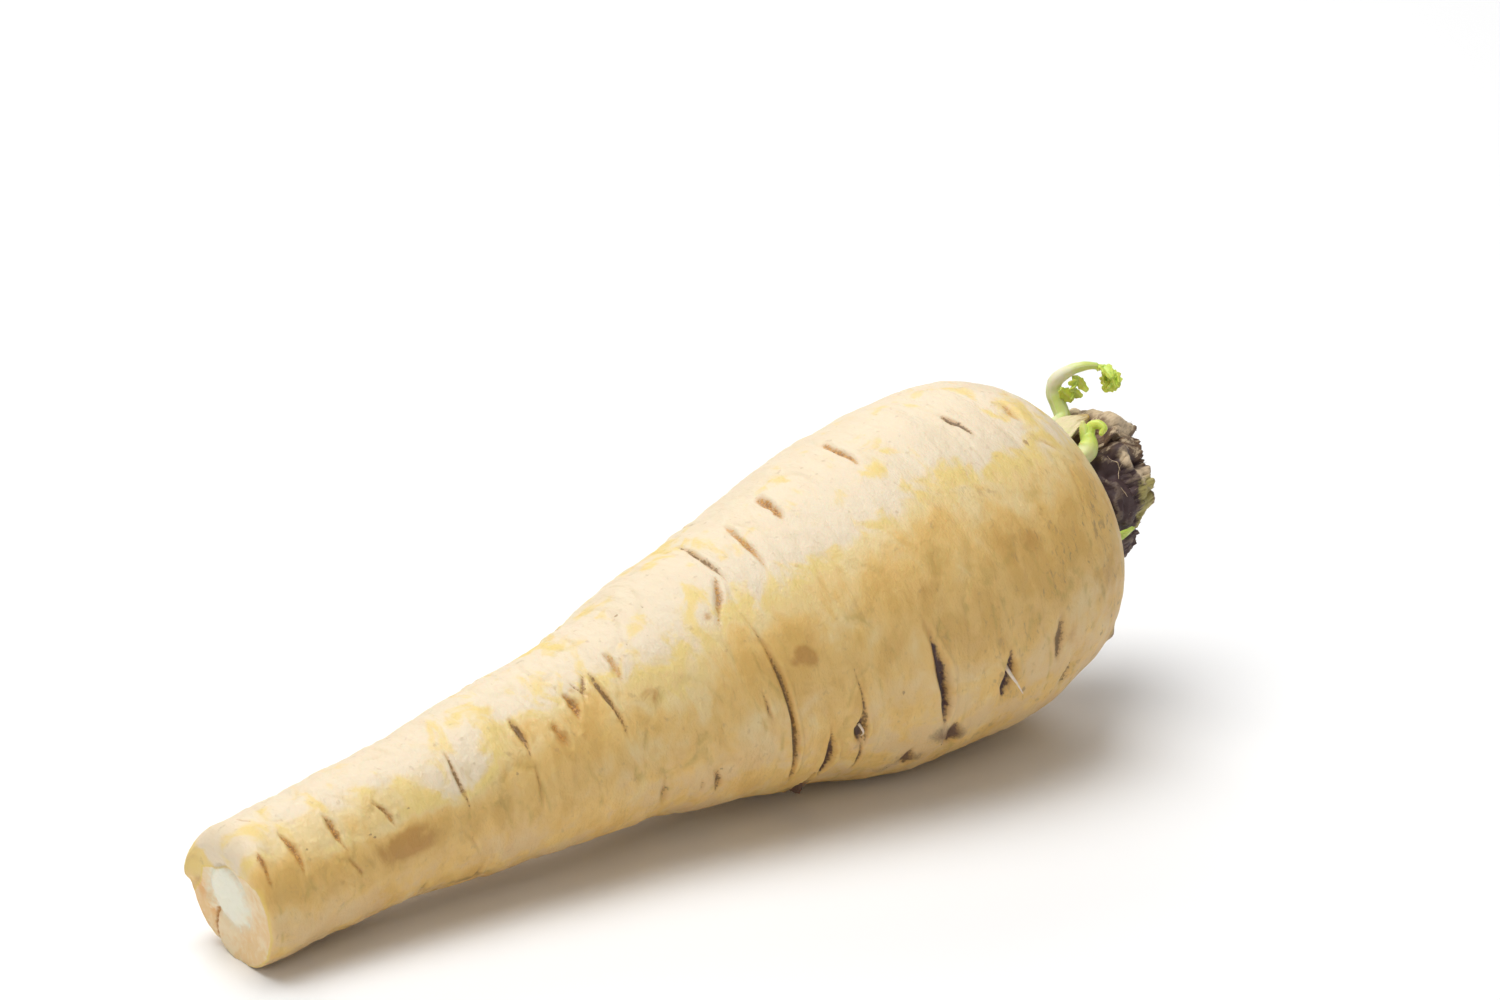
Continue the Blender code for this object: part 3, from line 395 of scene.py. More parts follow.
def taproot_body():
    """The root's skin with its cut face and its hollow, fine enough to carry the furrows' own widths."""
    angle = ring_angles()[None, :]
    rings, marks = [], {}
    dots = [(station, middle, size, math.degrees(size / ROUND_DOTS_AT), 1.0) for station, middle, size in DOTS]
    for along, radius, kind, share in taproot_blocks(angle):
        turn = angle + 0 * along
        degrees = np.degrees(turn)
        relief, dark, purple, line = skin_marks(along, turn)
        fade = 0.0
        if kind == "side":
            fade = smooth_step(share)
        elif kind == "dome":
            fade = 1 - (1 - CREST_RELIEF) * smooth_step((share - DOME_SMOOTH_FROM) / (1 - DOME_SMOOTH_FROM))
        elif kind == "hollow":
            fade = CREST_RELIEF
            relief = relief + ripple(along, turn, *HOLLOW_PLEATS) * smooth_step(4 * share)
        rings.append(on_root(along, radius + fade * relief, turn))
        brown = (share, degrees, FACE_PATCHES) if kind == "face" else (along, degrees, BROWN_PATCHES)
        found = {
            # Painted shade, partly the skin's own colour: the flanks darker and warmer than the top.
            "warm_shaded_flank": smooth_step((FLANK_START - np.cos(turn - PALE_LINE)) / FLANK_SPAN),
            "gold": blotches(along, degrees, GOLDEN_PATCHES),
            "brown": blotches(*brown),
            "dirt": blotches(along, degrees, DIRT_PATCHES),
            "furrow": dark * (kind != "face"),
            "purple": purple,
            "line": line,
            "shoulder": smooth_step((along - SHOULDER_SCUFFS_FROM) / SHOULDER_SCUFFS_SPAN),
            "low": smooth_step((LOW_START - np.cos(turn)) / LOW_SPAN),
            "dots": blotches(along, degrees, dots),
            "cut": skin_coverage(kind, share, turn),
            "share": core_distance(share, turn) if kind == "face" else 1.0,
            "crack": face_crack(share, turn) if kind in ("face", "rim") else 0.0,
            "hollow": share if kind == "hollow" else 0.0,
        }
        for name, value in found.items():
            marks.setdefault(name, []).append(np.broadcast_to(value, turn.shape))
    rings = np.concatenate(rings)
    rings[..., 2] = np.maximum(rings[..., 2], 0.0)
    middle = on_root(float(face_place(np.zeros(1), np.zeros(1))[0]), 0.0, 0.0)
    floor = on_root(CREST_AT - HOLLOW_DEPTH, 0.0, 0.0)
    body = Body()
    body.add_loft(rings, middle, floor, {name: np.concatenate(parts) for name, parts in marks.items()})
    return body


def faces_of(*corners):
    """Faces from arrays of their corners, in turn."""
    return np.stack(corners, -1).reshape(-1, len(corners)).tolist()


class Body:
    """Closed skins gathered in one mesh, with numbers for each point that its finish reads."""

    def __init__(self):
        self.points, self.faces, self.marks, self.count = [], [], {}, 0

    def add(self, points, faces, marks):
        self.points.append(points)
        self.faces += [tuple(k + self.count for k in face) for face in faces]
        for name, values in marks.items():
            self.marks.setdefault(name, []).append(np.asarray(values, float).reshape(-1))
        self.count += len(points)

    def add_loft(self, rings, start, end, marks):
        """A body through closed rings of points, with a point at each end."""
        count, sides = rings.shape[:2]
        points = np.concatenate([rings.reshape(-1, 3), [start, end]])
        grid = np.arange(count * sides).reshape(count, sides)
        after = np.roll(grid, -1, axis=1)
        faces = faces_of(grid[:-1], after[:-1], after[1:], grid[1:])
        faces += faces_of(after[0], grid[0], np.full(sides, count * sides))
        faces += faces_of(grid[-1], after[-1], np.full(sides, count * sides + 1))
        spread = {name: np.broadcast_to(values, (count, sides)) for name, values in marks.items()}
        self.add(points, faces, {name: [*values.reshape(-1), values[0].mean(), values[-1].mean()]
                                 for name, values in spread.items()})

    def add_sheet(self, middle, thickness, marks):
        """A thin closed body about a grid of points."""
        normal = np.cross(np.gradient(middle, axis=0), np.gradient(middle, axis=1))
        normal /= np.linalg.norm(normal, axis=-1, keepdims=True) + 1e-9
        up, across = middle.shape[:2]
        half = normal * (np.broadcast_to(thickness, (up, across))[..., None] / 2)
        front = np.arange(up * across).reshape(up, across)
        back = front + up * across
        faces = faces_of(front[:-1, :-1], front[:-1, 1:], front[1:, 1:], front[1:, :-1])
        faces += faces_of(back[:-1, :-1], back[1:, :-1], back[1:, 1:], back[:-1, 1:])
        border = np.concatenate([front[:-1, 0], front[-1, :-1], front[:0:-1, -1], front[0, :0:-1]])
        following = np.roll(border, -1)
        faces += faces_of(border, following, following + up * across, border + up * across)
        points = np.concatenate([(middle + half).reshape(-1, 3), (middle - half).reshape(-1, 3)])
        self.add(points, faces, {name: np.tile(np.broadcast_to(values, (up, across)).reshape(-1), 2)
                                 for name, values in marks.items()})

    def mesh(self, name):
        mesh = bpy.data.meshes.new(name)
        mesh.from_pydata((np.concatenate(self.points) * MM).tolist(), [], self.faces)
        for mark, values in self.marks.items():
            attribute = mesh.attributes.new(mark, "FLOAT", "POINT")
            attribute.data.foreach_set("value", np.concatenate(values).astype(np.float32))
        bm = bmesh.new()
        bm.from_mesh(mesh)
        bmesh.ops.recalc_face_normals(bm, faces=bm.faces)
        bm.to_mesh(mesh)
        bm.free()
        return mesh


def placed(name, mesh, finish, slot, node=None):
    """The finished piece: it rides on the root, and stands for its solid where it has one."""
    mesh.materials.clear()
    mesh.materials.append(finish)
    mesh.shade_smooth()
    piece = bpy.data.objects.new(name, mesh)
    bpy.context.scene.collection.objects.link(piece)
    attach(piece, "root")
    if node:
        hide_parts(node)
    return piece


# Withered leaf bases: angle, half spread, radius at the foot and at the top, reach, and how far it curls in.
SCALES = [
    (-30, 26, 10.5, 15.0, 19.5, 3.0), (4, 25, 10.4, 15.4, 20.6, 4.0), (47, 28, 10.9, 13.2, 18.4, 2.4),
    (86, 27, 11.4, 12.8, 16.0, 1.5), (119, 25, 11.2, 12.8, 12.0, -0.4), (152, 27, 11.0, 12.2, 9.8, 0.5),
    (190, 28, 11.0, 12.0, 9.2, 1.2), (228, 27, 11.2, 12.2, 11.2, 0.6), (266, 28, 11.4, 13.0, 14.4, 2.2),
    (301, 27, 10.8, 13.6, 17.0, 2.6), (-9, 37, 8.4, 11.4, 20.2, 3.4), (66, 40, 8.6, 10.4, 17.8, 2.6),
    (140, 38, 8.6, 9.4, 14.0, 1.5), (214, 38, 8.6, 9.2, 13.2, 1.8), (284, 38, 8.6, 10.2, 16.6, 2.2),
    (30, 84, 5.2, 6.4, 18.4, 2.4), (210, 84, 5.0, 5.4, 15.4, 1.8), (26, 26, 9.6, 13.4, 19.8, 3.0),
    (68, 20, 10.6, 13.0, 17.0, 1.6),
]
STUB_FOOT = -HOLLOW_DEPTH
SCALE_FOOT, SCALE_STAGGER = 1.2, 0.07
SCALE_MIDDLE, SCALE_EDGE = 1.3, 0.3
SCALE_NARROWING, SCALE_ROUNDING = 0.25, 0.16
SCALE_SWELLS_FROM, SCALE_SWELLS_TO, SCALE_CURLS_FROM, SCALE_CURL_MORE = 0.48, 0.78, 0.7, 0.9
SCALE_RAGGED, SCALE_TORN, SCALE_CRUMPLE = 1.1, 0.45, 1.1
# Creases round, across and up a leaf base, its folds as strength, fineness and seed, and its fibres and tears.
SCALE_CREASES = (0.37, 2.0, 2.8)
SCALE_FOLDS, SCALE_FOLD_DEPTH = [(0.6, (1, 1.6, 1.2), 5), (0.4, (1, 3.4, 2.6), 9)], 0.8
SCALE_FIBRES, SCALE_FIBRE_DEPTH, SCALE_TEARS, SCALE_RAGS = (9, 1.3), 0.25, (5, 2.5), (1, 1.3, 0.3)
SCALE_UP, SCALE_ACROSS = 44, 32
# The knob's profile as (out, radius), its lumps as height, length, turns and seed, and its folds as strength,
# fineness along it and turns.
KNOB = [
    (-4.6, 10.6), (-1.5, 11.0), (2.0, 12.2), (5.0, 13.0), (8.0, 13.3), (10.8, 12.6), (12.8, 10.4), (14.2, 7.0),
    (14.8, 2.8),
]
KNOB_TOP, KNOB_REACH, KNOB_SLANT, KNOB_SLANT_RADIUS, KNOB_LEANS = 14.9, 20.0, 0.42, 11.0, math.radians(-15)
KNOB_LUMPS, KNOB_FOLDS, KNOB_FOLD_DEPTH = (1.2, 5.0, 2.0, 0), [(0.6, 0.25, 3), (0.4, 0.5, 7)], 1.8
KNOB_RINGS, KNOB_SIDES = 90, 150
# Torn strands on the knob: routes as (out, angle), and their radius.
STRANDS = [
    ([(8.6, 36), (9.2, 43), (10.2, 52), (10.9, 61)], 0.1), ([(11.0, 44), (9.4, 50), (8.4, 56)], 0.07),
    ([(13.6, 58), (13.9, 64), (13.4, 72)], 0.15), ([(7.2, 62), (7.8, 70)], 0.06),
    ([(9.5, 28), (12.0, 33)], 0.08), ([(12.0, 190), (10.0, 205), (9.0, 215)], 0.15),
    ([(12.0, 270), (13.0, 285)], 0.15),
]
STRAND_LIFT, STRAND_SIDES, STRAND_THINNEST, STRAND_TAN = 0.04, 8, 0.4, 1.1
# Folds, hollows and coloured patches of the stub: out, angle, half length, half spread, height or strength.
STUB_FORMS = [
    (14.6, 50, 2.0, 11, -2.2), (11.6, 42, 1.1, 8, 1.2), (16.5, -8, 3.0, 16, 0.7),
    (16.4, 70, 1.5, 12, 0.8), (7.5, 76, 3.5, 22, 0.6), (11.5, 62, 0.8, 10, -0.9), (6.0, 40, 2.0, 10, -0.8),
    (9.0, 104, 2.0, 9, -0.8), (12.0, 200, 3.0, 15, -1.2), (14.0, 290, 2.2, 12, -1.4), (10.0, 250, 2.5, 14, 0.8),
]
# Tan patches: partly pale tan leaf bases, partly painted highlights on the stub's top and on fold edges that
# face the light.
TAN_AND_HIGHLIGHT_PATCHES = [
    (17.0, -16, 4.4, 28, 2.2), (11.8, 44, 1.4, 7, 1.7), (13.9, 62, 1.1, 9, 1.6), (14.5, 18, 2.4, 9, 0.7),
    (16.5, 62, 1.6, 12, 1.0), (9.5, 30, 1.2, 6, 0.5), (13.0, 270, 3.0, 12, 0.6), (9.0, 215, 2.0, 14, 0.4),
]
OLIVE_PATCHES = [
    (13.6, 80, 2.8, 18, 1.7), (12.6, 99, 3.0, 12, 1.6), (16.6, 72, 1.6, 8, 1.0), (12.0, 300, 2.5, 10, 0.5),
]
# Dark purple patches: partly the rot's own colour, partly painted shade on the stub's near, lower side.
PURPLE_AND_SHADE_PATCHES = [
    (7, 62, 6, 30, 1.0), (9, 98, 5, 24, 1.0), (15.2, 50, 1.6, 9, 0.8), (6, 135, 6, 24, 0.9),
    (6, 230, 7, 40, 0.8), (11.0, 38, 3.0, 12, 0.55), (13.6, 52, 2.0, 12, 0.55),
]


def ridged(points):
    """Sharp folds: 1 on a crease and falling away from it."""
    return 1 - np.abs(noise_at(points)) * 2


def scale_points(angle, spread, foot, top, reach, curl, foot_out, crumple, ragged, torn):
    """The middle surface of a withered leaf base: out, radius, degrees, folds, and the share of its height."""
    about, across, upwards = SCALE_CREASES
    height = np.linspace(0, 1, SCALE_UP)[:, None]
    side = np.linspace(-1, 1, SCALE_ACROSS)[None, :]
    degrees = angle + spread * side * (1 - SCALE_NARROWING * height**2)
    seed = place_array(angle * about, side * across, height * upwards)
    swell = smooth_step((height - SCALE_SWELLS_FROM) / (SCALE_SWELLS_TO - SCALE_SWELLS_FROM))
    tip = smooth_step((height - SCALE_CURLS_FROM) / (1 - SCALE_CURLS_FROM))
    radius = foot + (top - foot) * swell - (curl + SCALE_CURL_MORE * crumple) * tip
    radius = radius + crumple * noise_at(seed) * smooth_step(2 * height)
    folds = sum(strength * ridged(seed * fineness + shift) for strength, fineness, shift in SCALE_FOLDS)
    fibres = noise_at(place_array(angle, side * SCALE_FIBRES[0], height * SCALE_FIBRES[1]))
    risen = SCALE_FOLD_DEPTH * (folds - 0.5) * smooth_step(2.5 * height)
    radius = radius + crumple * (risen + SCALE_FIBRE_DEPTH * fibres)
    tears = ridged(place_array(angle, side * SCALE_TEARS[0], SCALE_TEARS[1])) - 0.6
    end = reach * (1 - SCALE_ROUNDING * side**2) + ragged * (noise_at(seed * SCALE_RAGS) + torn * tears)
    return foot_out + (end - foot_out) * height, radius, degrees, folds, height


def stub_marks(out, degrees, folds, height):
    return {"fold": folds, "height": height, "tan": blotches(out, degrees, TAN_AND_HIGHLIGHT_PATCHES),
            "olive": blotches(out, degrees, OLIVE_PATCHES), "purple": blotches(out, degrees, PURPLE_AND_SHADE_PATCHES)}


def knob_form(step, angle):
    """The knob at steps of its profile: how far out it lies, its distance from the axis, and its folds."""
    out, radius = (curve_through(range(len(KNOB)), values, step + 0 * angle) for values in np.array(KNOB).T)
    radius = radius + ripple(out, angle, *KNOB_LUMPS)
    folds = sum(strength * ridged(place_array(out * fine, turns * np.cos(angle), turns * np.sin(angle)))
                for strength, fine, turns in KNOB_FOLDS)
    slant = KNOB_SLANT * np.minimum(radius / KNOB_SLANT_RADIUS, 1) * np.cos(angle - KNOB_LEANS)
    out = out * np.where(out > 0, 1 + slant, 1)
    risen = smooth_step(out / 5) * smooth_step(radius / 6)
    radius = radius + risen * (KNOB_FOLD_DEPTH * (folds - 0.6) + blotches(out, np.degrees(angle), STUB_FORMS))
    return out, radius, folds


def add_strand(body, route, size):
    """A torn strand that lies on the knob."""
    outs, degrees = smooth_route(route).T
    steps = np.linspace(0, len(KNOB) - 3, 100)[:, None]
    out, radius, _ = knob_form(steps, np.radians(degrees)[None, :])
    lifts = [np.interp(at, out[:, k], radius[:, k]) for k, at in enumerate(outs)]
    points = on_root(CREST_AT + outs, np.array(lifts) + STRAND_LIFT, np.radians(degrees))
    share = np.linspace(0, 1, len(points))
    thick = size * (STRAND_THINNEST + (1 - STRAND_THINNEST) * np.sin(math.pi * share))
    rings = tube_rings(points, thick, directions(points), STRAND_SIDES)
    marks = {"fold": 1.0, "height": share[:, None], "tan": STRAND_TAN, "olive": 0.0, "purple": 0.0}
    body.add_loft(rings, points[0], points[-1], marks)


def crown_stub_body():
    """The stub: a lumpy knob with torn strands, and whorls of crumpled, torn leaf bases."""
    body = Body()
    angle = round_angles(KNOB_SIDES)
    out, radius, folds = knob_form(np.linspace(0, len(KNOB) - 1, KNOB_RINGS)[:, None], angle)
    foot, top = (on_root(CREST_AT + end, 0.0, 0.0) for end in (STUB_FOOT, KNOB_TOP))
    marks = stub_marks(out, np.degrees(angle), folds, out / KNOB_REACH)
    body.add_loft(on_root(CREST_AT + out, radius, angle), foot, top, marks)
    for route, size in STRANDS:
        add_strand(body, route, size)
    for k, scale in enumerate(SCALES):
        out, radius, degrees, folds, height = scale_points(
            *scale, STUB_FOOT + SCALE_FOOT + SCALE_STAGGER * k, SCALE_CRUMPLE, SCALE_RAGGED, SCALE_TORN)
        radius = radius + blotches(out, degrees, STUB_FORMS)
        points = on_root(CREST_AT + out, radius, np.radians(degrees))
        edge = np.maximum(np.abs(np.linspace(-1, 1, SCALE_ACROSS))[None, :], height**2)
        thickness = SCALE_MIDDLE + (SCALE_EDGE - SCALE_MIDDLE) * edge**2
        body.add_sheet(points, thickness, stub_marks(out, degrees, folds, height))
    return body


# Young shoots: routes as (out, towards -Y, up, radius), and how green they are along the route.
HOOKED_STALK = [
    (-4.6, -4.2, 13.9, 1.4), (2.0, -4.2, 13.9, 1.4), (6.5, -4.1, 13.9, 1.45), (9.3, -4.6, 14.4, 1.5),
    (10.1, -6.4, 16.3, 1.5), (10.3, -7.6, 18.5, 1.45), (10.9, -7.1, 20.9, 1.3), (12.8, -5.1, 22.7, 1.05),
    (14.8, -3.7, 23.1, 0.85), (16.6, -2.7, 22.8, 0.6),
]
HOOKED_GREENS = (0.2, 0.3, 0.5, 0.8, 0.8, 0.45, 0.2, 0.7, 1.0, 1.0)
LEAF_RIB = [
    (16.4, -2.8, 22.8, 0.6), (16.9, -2.5, 22.5, 0.55), (17.9, -1.8, 22.2, 0.5), (18.8, -1.1, 21.3, 0.45),
    (19.1, -0.6, 20.0, 0.4), (18.8, -0.2, 18.8, 0.3),
]
LEAFLET_STALK = [
    (13.2, -4.7, 21.4, 0.6), (13.0, -4.6, 20.2, 0.5), (12.4, -4.5, 19.4, 0.4), (12.1, -4.4, 18.5, 0.35),
    (12.1, -4.3, 17.7, 0.3),
]
LEAF_GREENS = (0.8, 0.95)
FORKED_STEM = [
    (-4.6, 7.0, 12.5, 1.4), (2.0, 7.0, 12.5, 1.45), (4.6, 6.7, 12.7, 1.8), (5.9, 6.2, 13.6, 1.8),
    (6.5, 5.6, 14.8, 1.3),
]
FORKED_STEM_GREENS = (0.0, 0.0, 0.3, 0.8, 1.0)
FORK_LEFT = [(6.1, 5.6, 14.4, 1.1), (6.4, 4.9, 15.5, 1.0), (6.6, 4.4, 16.5, 0.8), (6.7, 4.2, 17.3, 0.4)]
FORK_LEFT_GREENS = (0.9, 0.7, 0.5, 0.2)
FORK_RIGHT = [
    (6.5, 5.6, 14.6, 1.1), (7.3, 5.2, 15.6, 1.0), (7.9, 5.2, 16.5, 0.9), (8.6, 6.2, 16.8, 0.85),
    (8.8, 7.3, 16.3, 0.75), (8.0, 7.5, 15.6, 0.45),
]
FORK_RIGHT_GREENS = (1.0, 1.0)
# Leaflets: place along the rib, side, length, half width, roll.
LEAFLETS = [
    (0.10, 1, 3.2, 1.5, 10), (0.16, -1, 3.0, 1.5, -20), (0.48, 1, 3.4, 1.6, 35), (0.55, -1, 3.3, 1.6, -40),
    (0.80, 1, 2.8, 1.4, 60), (0.84, -1, 2.7, 1.4, -70), (0.30, 1, 2.6, 1.2, 80), (0.34, -1, 2.4, 1.2, -85),
    (0.66, 1, 2.3, 1.1, 5), (0.70, -1, 2.2, 1.1, -5),
]
HANGING_BLADES = [
    (-0.4, -1, 3.4, 1.3, 60), (-0.3, -1, 3.0, 1.0, 110), (-0.1, 1, 1.6, 0.9, 60), (0.15, -1, 2.6, 1.0, 40),
    (0.3, 1, 1.5, 0.8, 40), (0.5, -1, 1.9, 0.8, 90), (0.68, 1, 1.4, 0.6, 30), (0.85, -1, 1.3, 0.5, 70),
]
LEAFLET_AHEAD, LEAFLET_ASIDE = 0.55, 0.85
LEAFLET_FROM, LEAFLET_SPAN, LEAFLET_ROUNDNESS = 0.16, 0.74, 0.8
LEAFLET_DROOP, LEAFLET_FOLD, LEAFLET_THICKNESS = 0.9, 0.45, 0.45
LEAFLET_TEETH, TOOTH_DEPTH, TOOTH_SLANT = 3, 0.28, 0.12
# Veins and crinkles: how narrow the middle vein is, the side veins' strength, number, slant and width.
VEIN_NARROWNESS, SIDE_VEINS, VEIN_DEPTH = 5, (0.6, 6, 1.6, 0.13), 0.06
LEAFLET_CRINKLE, CRINKLE_FINENESS = 0.22, 1.1
LEAFLET_UP, LEAFLET_ACROSS = 31, 13
# The sheath and the bud, each as in SCALES, and how much it narrows towards its tip.
SHEATH, SHEATH_POINT = (3.0, 14.0, 15.5, 16.8, 12.2, 0.4), 0.7
BUD, BUD_POINT = (94.0, 6.0, 14.6, 15.2, 9.0, 0.4), 0.8
SMALL_SCALE_THICKNESS, SMALL_SCALE_THINNING, SMALL_SCALE_CRUMPLE = 0.7, 0.6, 0.25
ROUTE_STEPS, STALK_SIDES, TIP_ROUNDS, STALK_RIBS = 8, 24, 5, 5
STALK_LUMPS, LUMP_FINENESS, RIB_HEIGHT, TIP_LENGTH = 0.06, 0.6, 0.03, 0.9


def smooth_route(values):
    """The curve through the values, with ROUTE_STEPS parts between each two."""
    values = np.array(values, float)
    last = len(values) - 1
    found = []
    for k in range(last):
        before, a, b, after = values[max(k - 1, 0)], values[k], values[k + 1], values[min(k + 2, last)]
        for n in range(ROUTE_STEPS):
            t = n / ROUTE_STEPS
            found.append(0.5 * (2 * a + (b - before) * t + (2 * before - 5 * a + 4 * b - after) * t**2
                                + (3 * a - before - 3 * b + after) * t**3))
    return np.array(found + [values[-1]])


def unit(vectors):
    return vectors / np.linalg.norm(vectors, axis=-1, keepdims=True)


def directions(points):
    return unit(np.gradient(points, axis=0))


def round_angles(count):
    return np.linspace(0, 2 * math.pi, count, endpoint=False)


def tube_rings(points, radius, ahead, sides):
    """Rings of points square to a route, each turned as little as it can be from the one before."""
    angle, side, rings = round_angles(sides), np.array([0.0, 1.0, 0.0]), []
    for point, size, way in zip(points, radius, ahead):
        side = unit(side - way * (side @ way))
        other = np.cross(way, side)
        rings.append(point + size * (np.cos(angle)[:, None] * side + np.sin(angle)[:, None] * other))
    return np.array(rings)


def add_stalk(body, route, greens):
    """A soft ribbed stalk along a route by the crown, with a rounded tip."""
    points = smooth_route([beside_crown(place[:3]) for place in route])
    radius = smooth_route([place[3] for place in route])
    ahead = directions(points)
    turn = np.radians(np.linspace(15, 80, TIP_ROUNDS))
    tip = radius[-1] * TIP_LENGTH
    points = np.concatenate([points, points[-1] + ahead[-1] * (tip * np.sin(turn))[:, None]])
    radius = np.concatenate([radius, radius[-1] * np.cos(turn)])
    ahead = np.concatenate([ahead, np.tile(ahead[-1], (TIP_ROUNDS, 1))])
    rings = tube_rings(points, radius, ahead, STALK_SIDES)
    centre = points[:, None, :]
    ribs = np.cos(STALK_RIBS * round_angles(STALK_SIDES))
    swell = 1 + STALK_LUMPS * noise_at(rings * LUMP_FINENESS) + RIB_HEIGHT * ribs
    rings = centre + (rings - centre) * swell[..., None]
    share = np.linspace(0, 1, len(points))[:, None]
    marks = {"green": np.interp(share, np.linspace(0, 1, len(greens)), greens), "vein": ribs}
    body.add_loft(rings, points[0] - ahead[0] * 0.01, points[-1] + ahead[-1] * tip * 0.02, marks)


def leaflet_points(root, ahead, out_side, length, half_width, roll):
    """The middle surface of a toothed, crinkled leaflet, and its veins."""
    tilt = math.radians(roll)
    aside = out_side * math.cos(tilt) + np.cross(ahead, out_side) * math.sin(tilt)
    run = unit(ahead * LEAFLET_AHEAD + aside * LEAFLET_ASIDE)
    width_way = unit(np.cross(run, np.cross(ahead, aside)))
    up = np.cross(run, width_way)
    share, side = np.linspace(0, 1, LEAFLET_UP)[:, None], np.linspace(-1, 1, LEAFLET_ACROSS)
    away = np.abs(side)
    outline = np.sin(math.pi * (LEAFLET_FROM + LEAFLET_SPAN * share)) ** LEAFLET_ROUNDNESS
    tooth = np.abs((share * LEAFLET_TEETH + TOOTH_SLANT * away) % 1 * 2 - 1)
    half = half_width * outline * (1 - TOOTH_DEPTH * (1 - tooth) * away)
    strength, number, slant, width = SIDE_VEINS
    side_veins = strength * bell(((share * number - away * slant) % 1 - 0.5) / width)
    veins = np.maximum(1 - away * VEIN_NARROWNESS, 0) + side_veins
    flat = root + run * (length * share)[..., None] + width_way * (half * side)[..., None]
    rise = LEAFLET_FOLD * half * away - LEAFLET_DROOP * share**2 - VEIN_DEPTH * veins
    rise = rise + LEAFLET_CRINKLE * noise_at(flat * CRINKLE_FINENESS) * smooth_step(3 * share)
    return flat + up * rise[..., None], veins, share


def leaf_body(route, leaflets):
    """A rib and the toothed leaflets along it."""
    body = Body()
    add_stalk(body, route, LEAF_GREENS)
    rib = np.array([beside_crown(place[:3]) for place in route[1:]])
    last = len(rib) - 1
    for place, hand, length, half_width, roll in leaflets:
        i = min(int(place * last), last - 1)
        part = rib[i + 1] - rib[i]
        out_side = unit(np.cross(part, np.cross(NEAR, part))) * hand
        points, veins, share = leaflet_points(
            rib[i] + part * (place * last - i), unit(part), out_side, length, half_width, roll)
        thickness = LEAFLET_THICKNESS * (1 - 0.5 * share)
        body.add_sheet(points, thickness, {"green": 0.75 + 0.25 * share, "vein": veins})
    return body


def small_scale_body(shape, narrowing):
    """A thin scale that stands by itself in the hollow and narrows towards its tip."""
    out, radius, degrees, folds, height = scale_points(*shape, STUB_FOOT, SMALL_SCALE_CRUMPLE, 0.0, 0.0)
    points = on_root(CREST_AT + out, radius, np.radians(degrees))
    middle = (points[:, :1] + points[:, -1:]) / 2
    points = middle + (points - middle) * (1 - narrowing * height[..., None] ** 3)
    thickness = SMALL_SCALE_THICKNESS * (1 - SMALL_SCALE_THINNING * np.linspace(-1, 1, SCALE_ACROSS) ** 2)
    body = Body()
    body.add_sheet(points, thickness, {"green": height, "vein": folds})
    return body


# Rootlets: places on the root as (along, distance beyond the skin, angle), and the radius at the foot.
ROOTLETS = [
    ([(141.6, -1.4, 99), (141.8, 0.4, 102), (142.9, 1.3, 106), (144.4, 1.7, 111)], 0.42),
    ([(113.2, -1.3, 106), (113.5, -0.5, 108), (113.7, -0.4, 110), (113.6, -0.8, 112)], 0.26),
    ([(48.0, -0.3, 230), (47.0, 1.4, 233), (45.2, 2.0, 238)], 0.22),
    ([(96.0, -0.3, 292), (97.4, 1.6, 290), (98.6, 2.6, 285)], 0.25),
]
ROOTLET_SIDES, ROOTLET_TAPER, ROOTLET_BLUNTNESS, ROOTLET_END = 10, 0.85, 1.3, 0.05


def rootlet_body():
    """Thin pale side roots that have started in a few of the furrows."""
    body = Body()
    for route, foot in ROOTLETS:
        along, beyond, degrees = np.array(route, float).T
        radius = curve_through(STATIONS, RADII, along) + beyond
        points = smooth_route(on_root(along, radius, np.radians(degrees)))
        ahead = directions(points)
        share = np.linspace(0, 1, len(points))
        radius = foot * (1 - ROOTLET_TAPER * share**ROOTLET_BLUNTNESS)
        rings = tube_rings(points, radius, ahead, ROOTLET_SIDES)
        body.add_loft(rings, points[0], points[-1] + ahead[-1] * ROOTLET_END, {"share": share[:, None]})
    return body


class Field:
    """A value that varies over a surface: a node's output that Python's operators work on."""

    def __init__(self, tree, socket):
        self.tree, self.socket = tree, socket

    def other(self, output):
        """Another output of the same node."""
        return Field(self.tree, self.socket.node.outputs[output])

    def maths(self, operation, *values, clamp=False):
        settings = {"operation": operation, "use_clamp": clamp}
        return self.tree.node("ShaderNodeMath", settings, dict(enumerate(values)))

    def __add__(self, other):
        return self.maths("ADD", self, other)

    def __sub__(self, other):
        return self.maths("SUBTRACT", self, other)

    def __rsub__(self, other):
        return self.maths("SUBTRACT", other, self)

    def __mul__(self, other):
        return self.maths("MULTIPLY", self, other)

    __radd__ = __add__
    __rmul__ = __mul__

    def clamped(self):
        return self.maths("ADD", self, 0.0, clamp=True)

    def hill(self, middle, half):
        """1 at a middle value and falling to 0 at a half width from it."""
        away = (self - middle) * (1 / half)
        return (1 - away * away).clamped()

    def rise(self, low, high):
        """0 below low and 1 above high, with a smooth step between them."""
        return self.tree.node("ShaderNodeMapRange", {"interpolation_type": "SMOOTHSTEP"},
                              {"Value": self, "From Min": low, "From Max": high})


class Tree:
    """Builds a node tree, one node at a time."""

    def __init__(self, tree):
        self.tree = tree

    def node(self, kind, settings=None, inputs=None, output=0):
        """A node of a kind with its settings, and the values or links of its sockets. Returns one output."""
        node = self.tree.nodes.new(kind)
        for name, value in (settings or {}).items():
            setattr(node, name, value)
        for name, value in (inputs or {}).items():
            self.feed(node.inputs[name], value)
        return Field(self, node.outputs[output])

    def feed(self, socket, value):
        if isinstance(value, Field):
            self.tree.links.new(value.socket, socket)
        elif isinstance(value, tuple) and len(value) == 3 and len(socket.default_value) == 4:
            socket.default_value = (*value, 1.0)
        else:
            socket.default_value = value


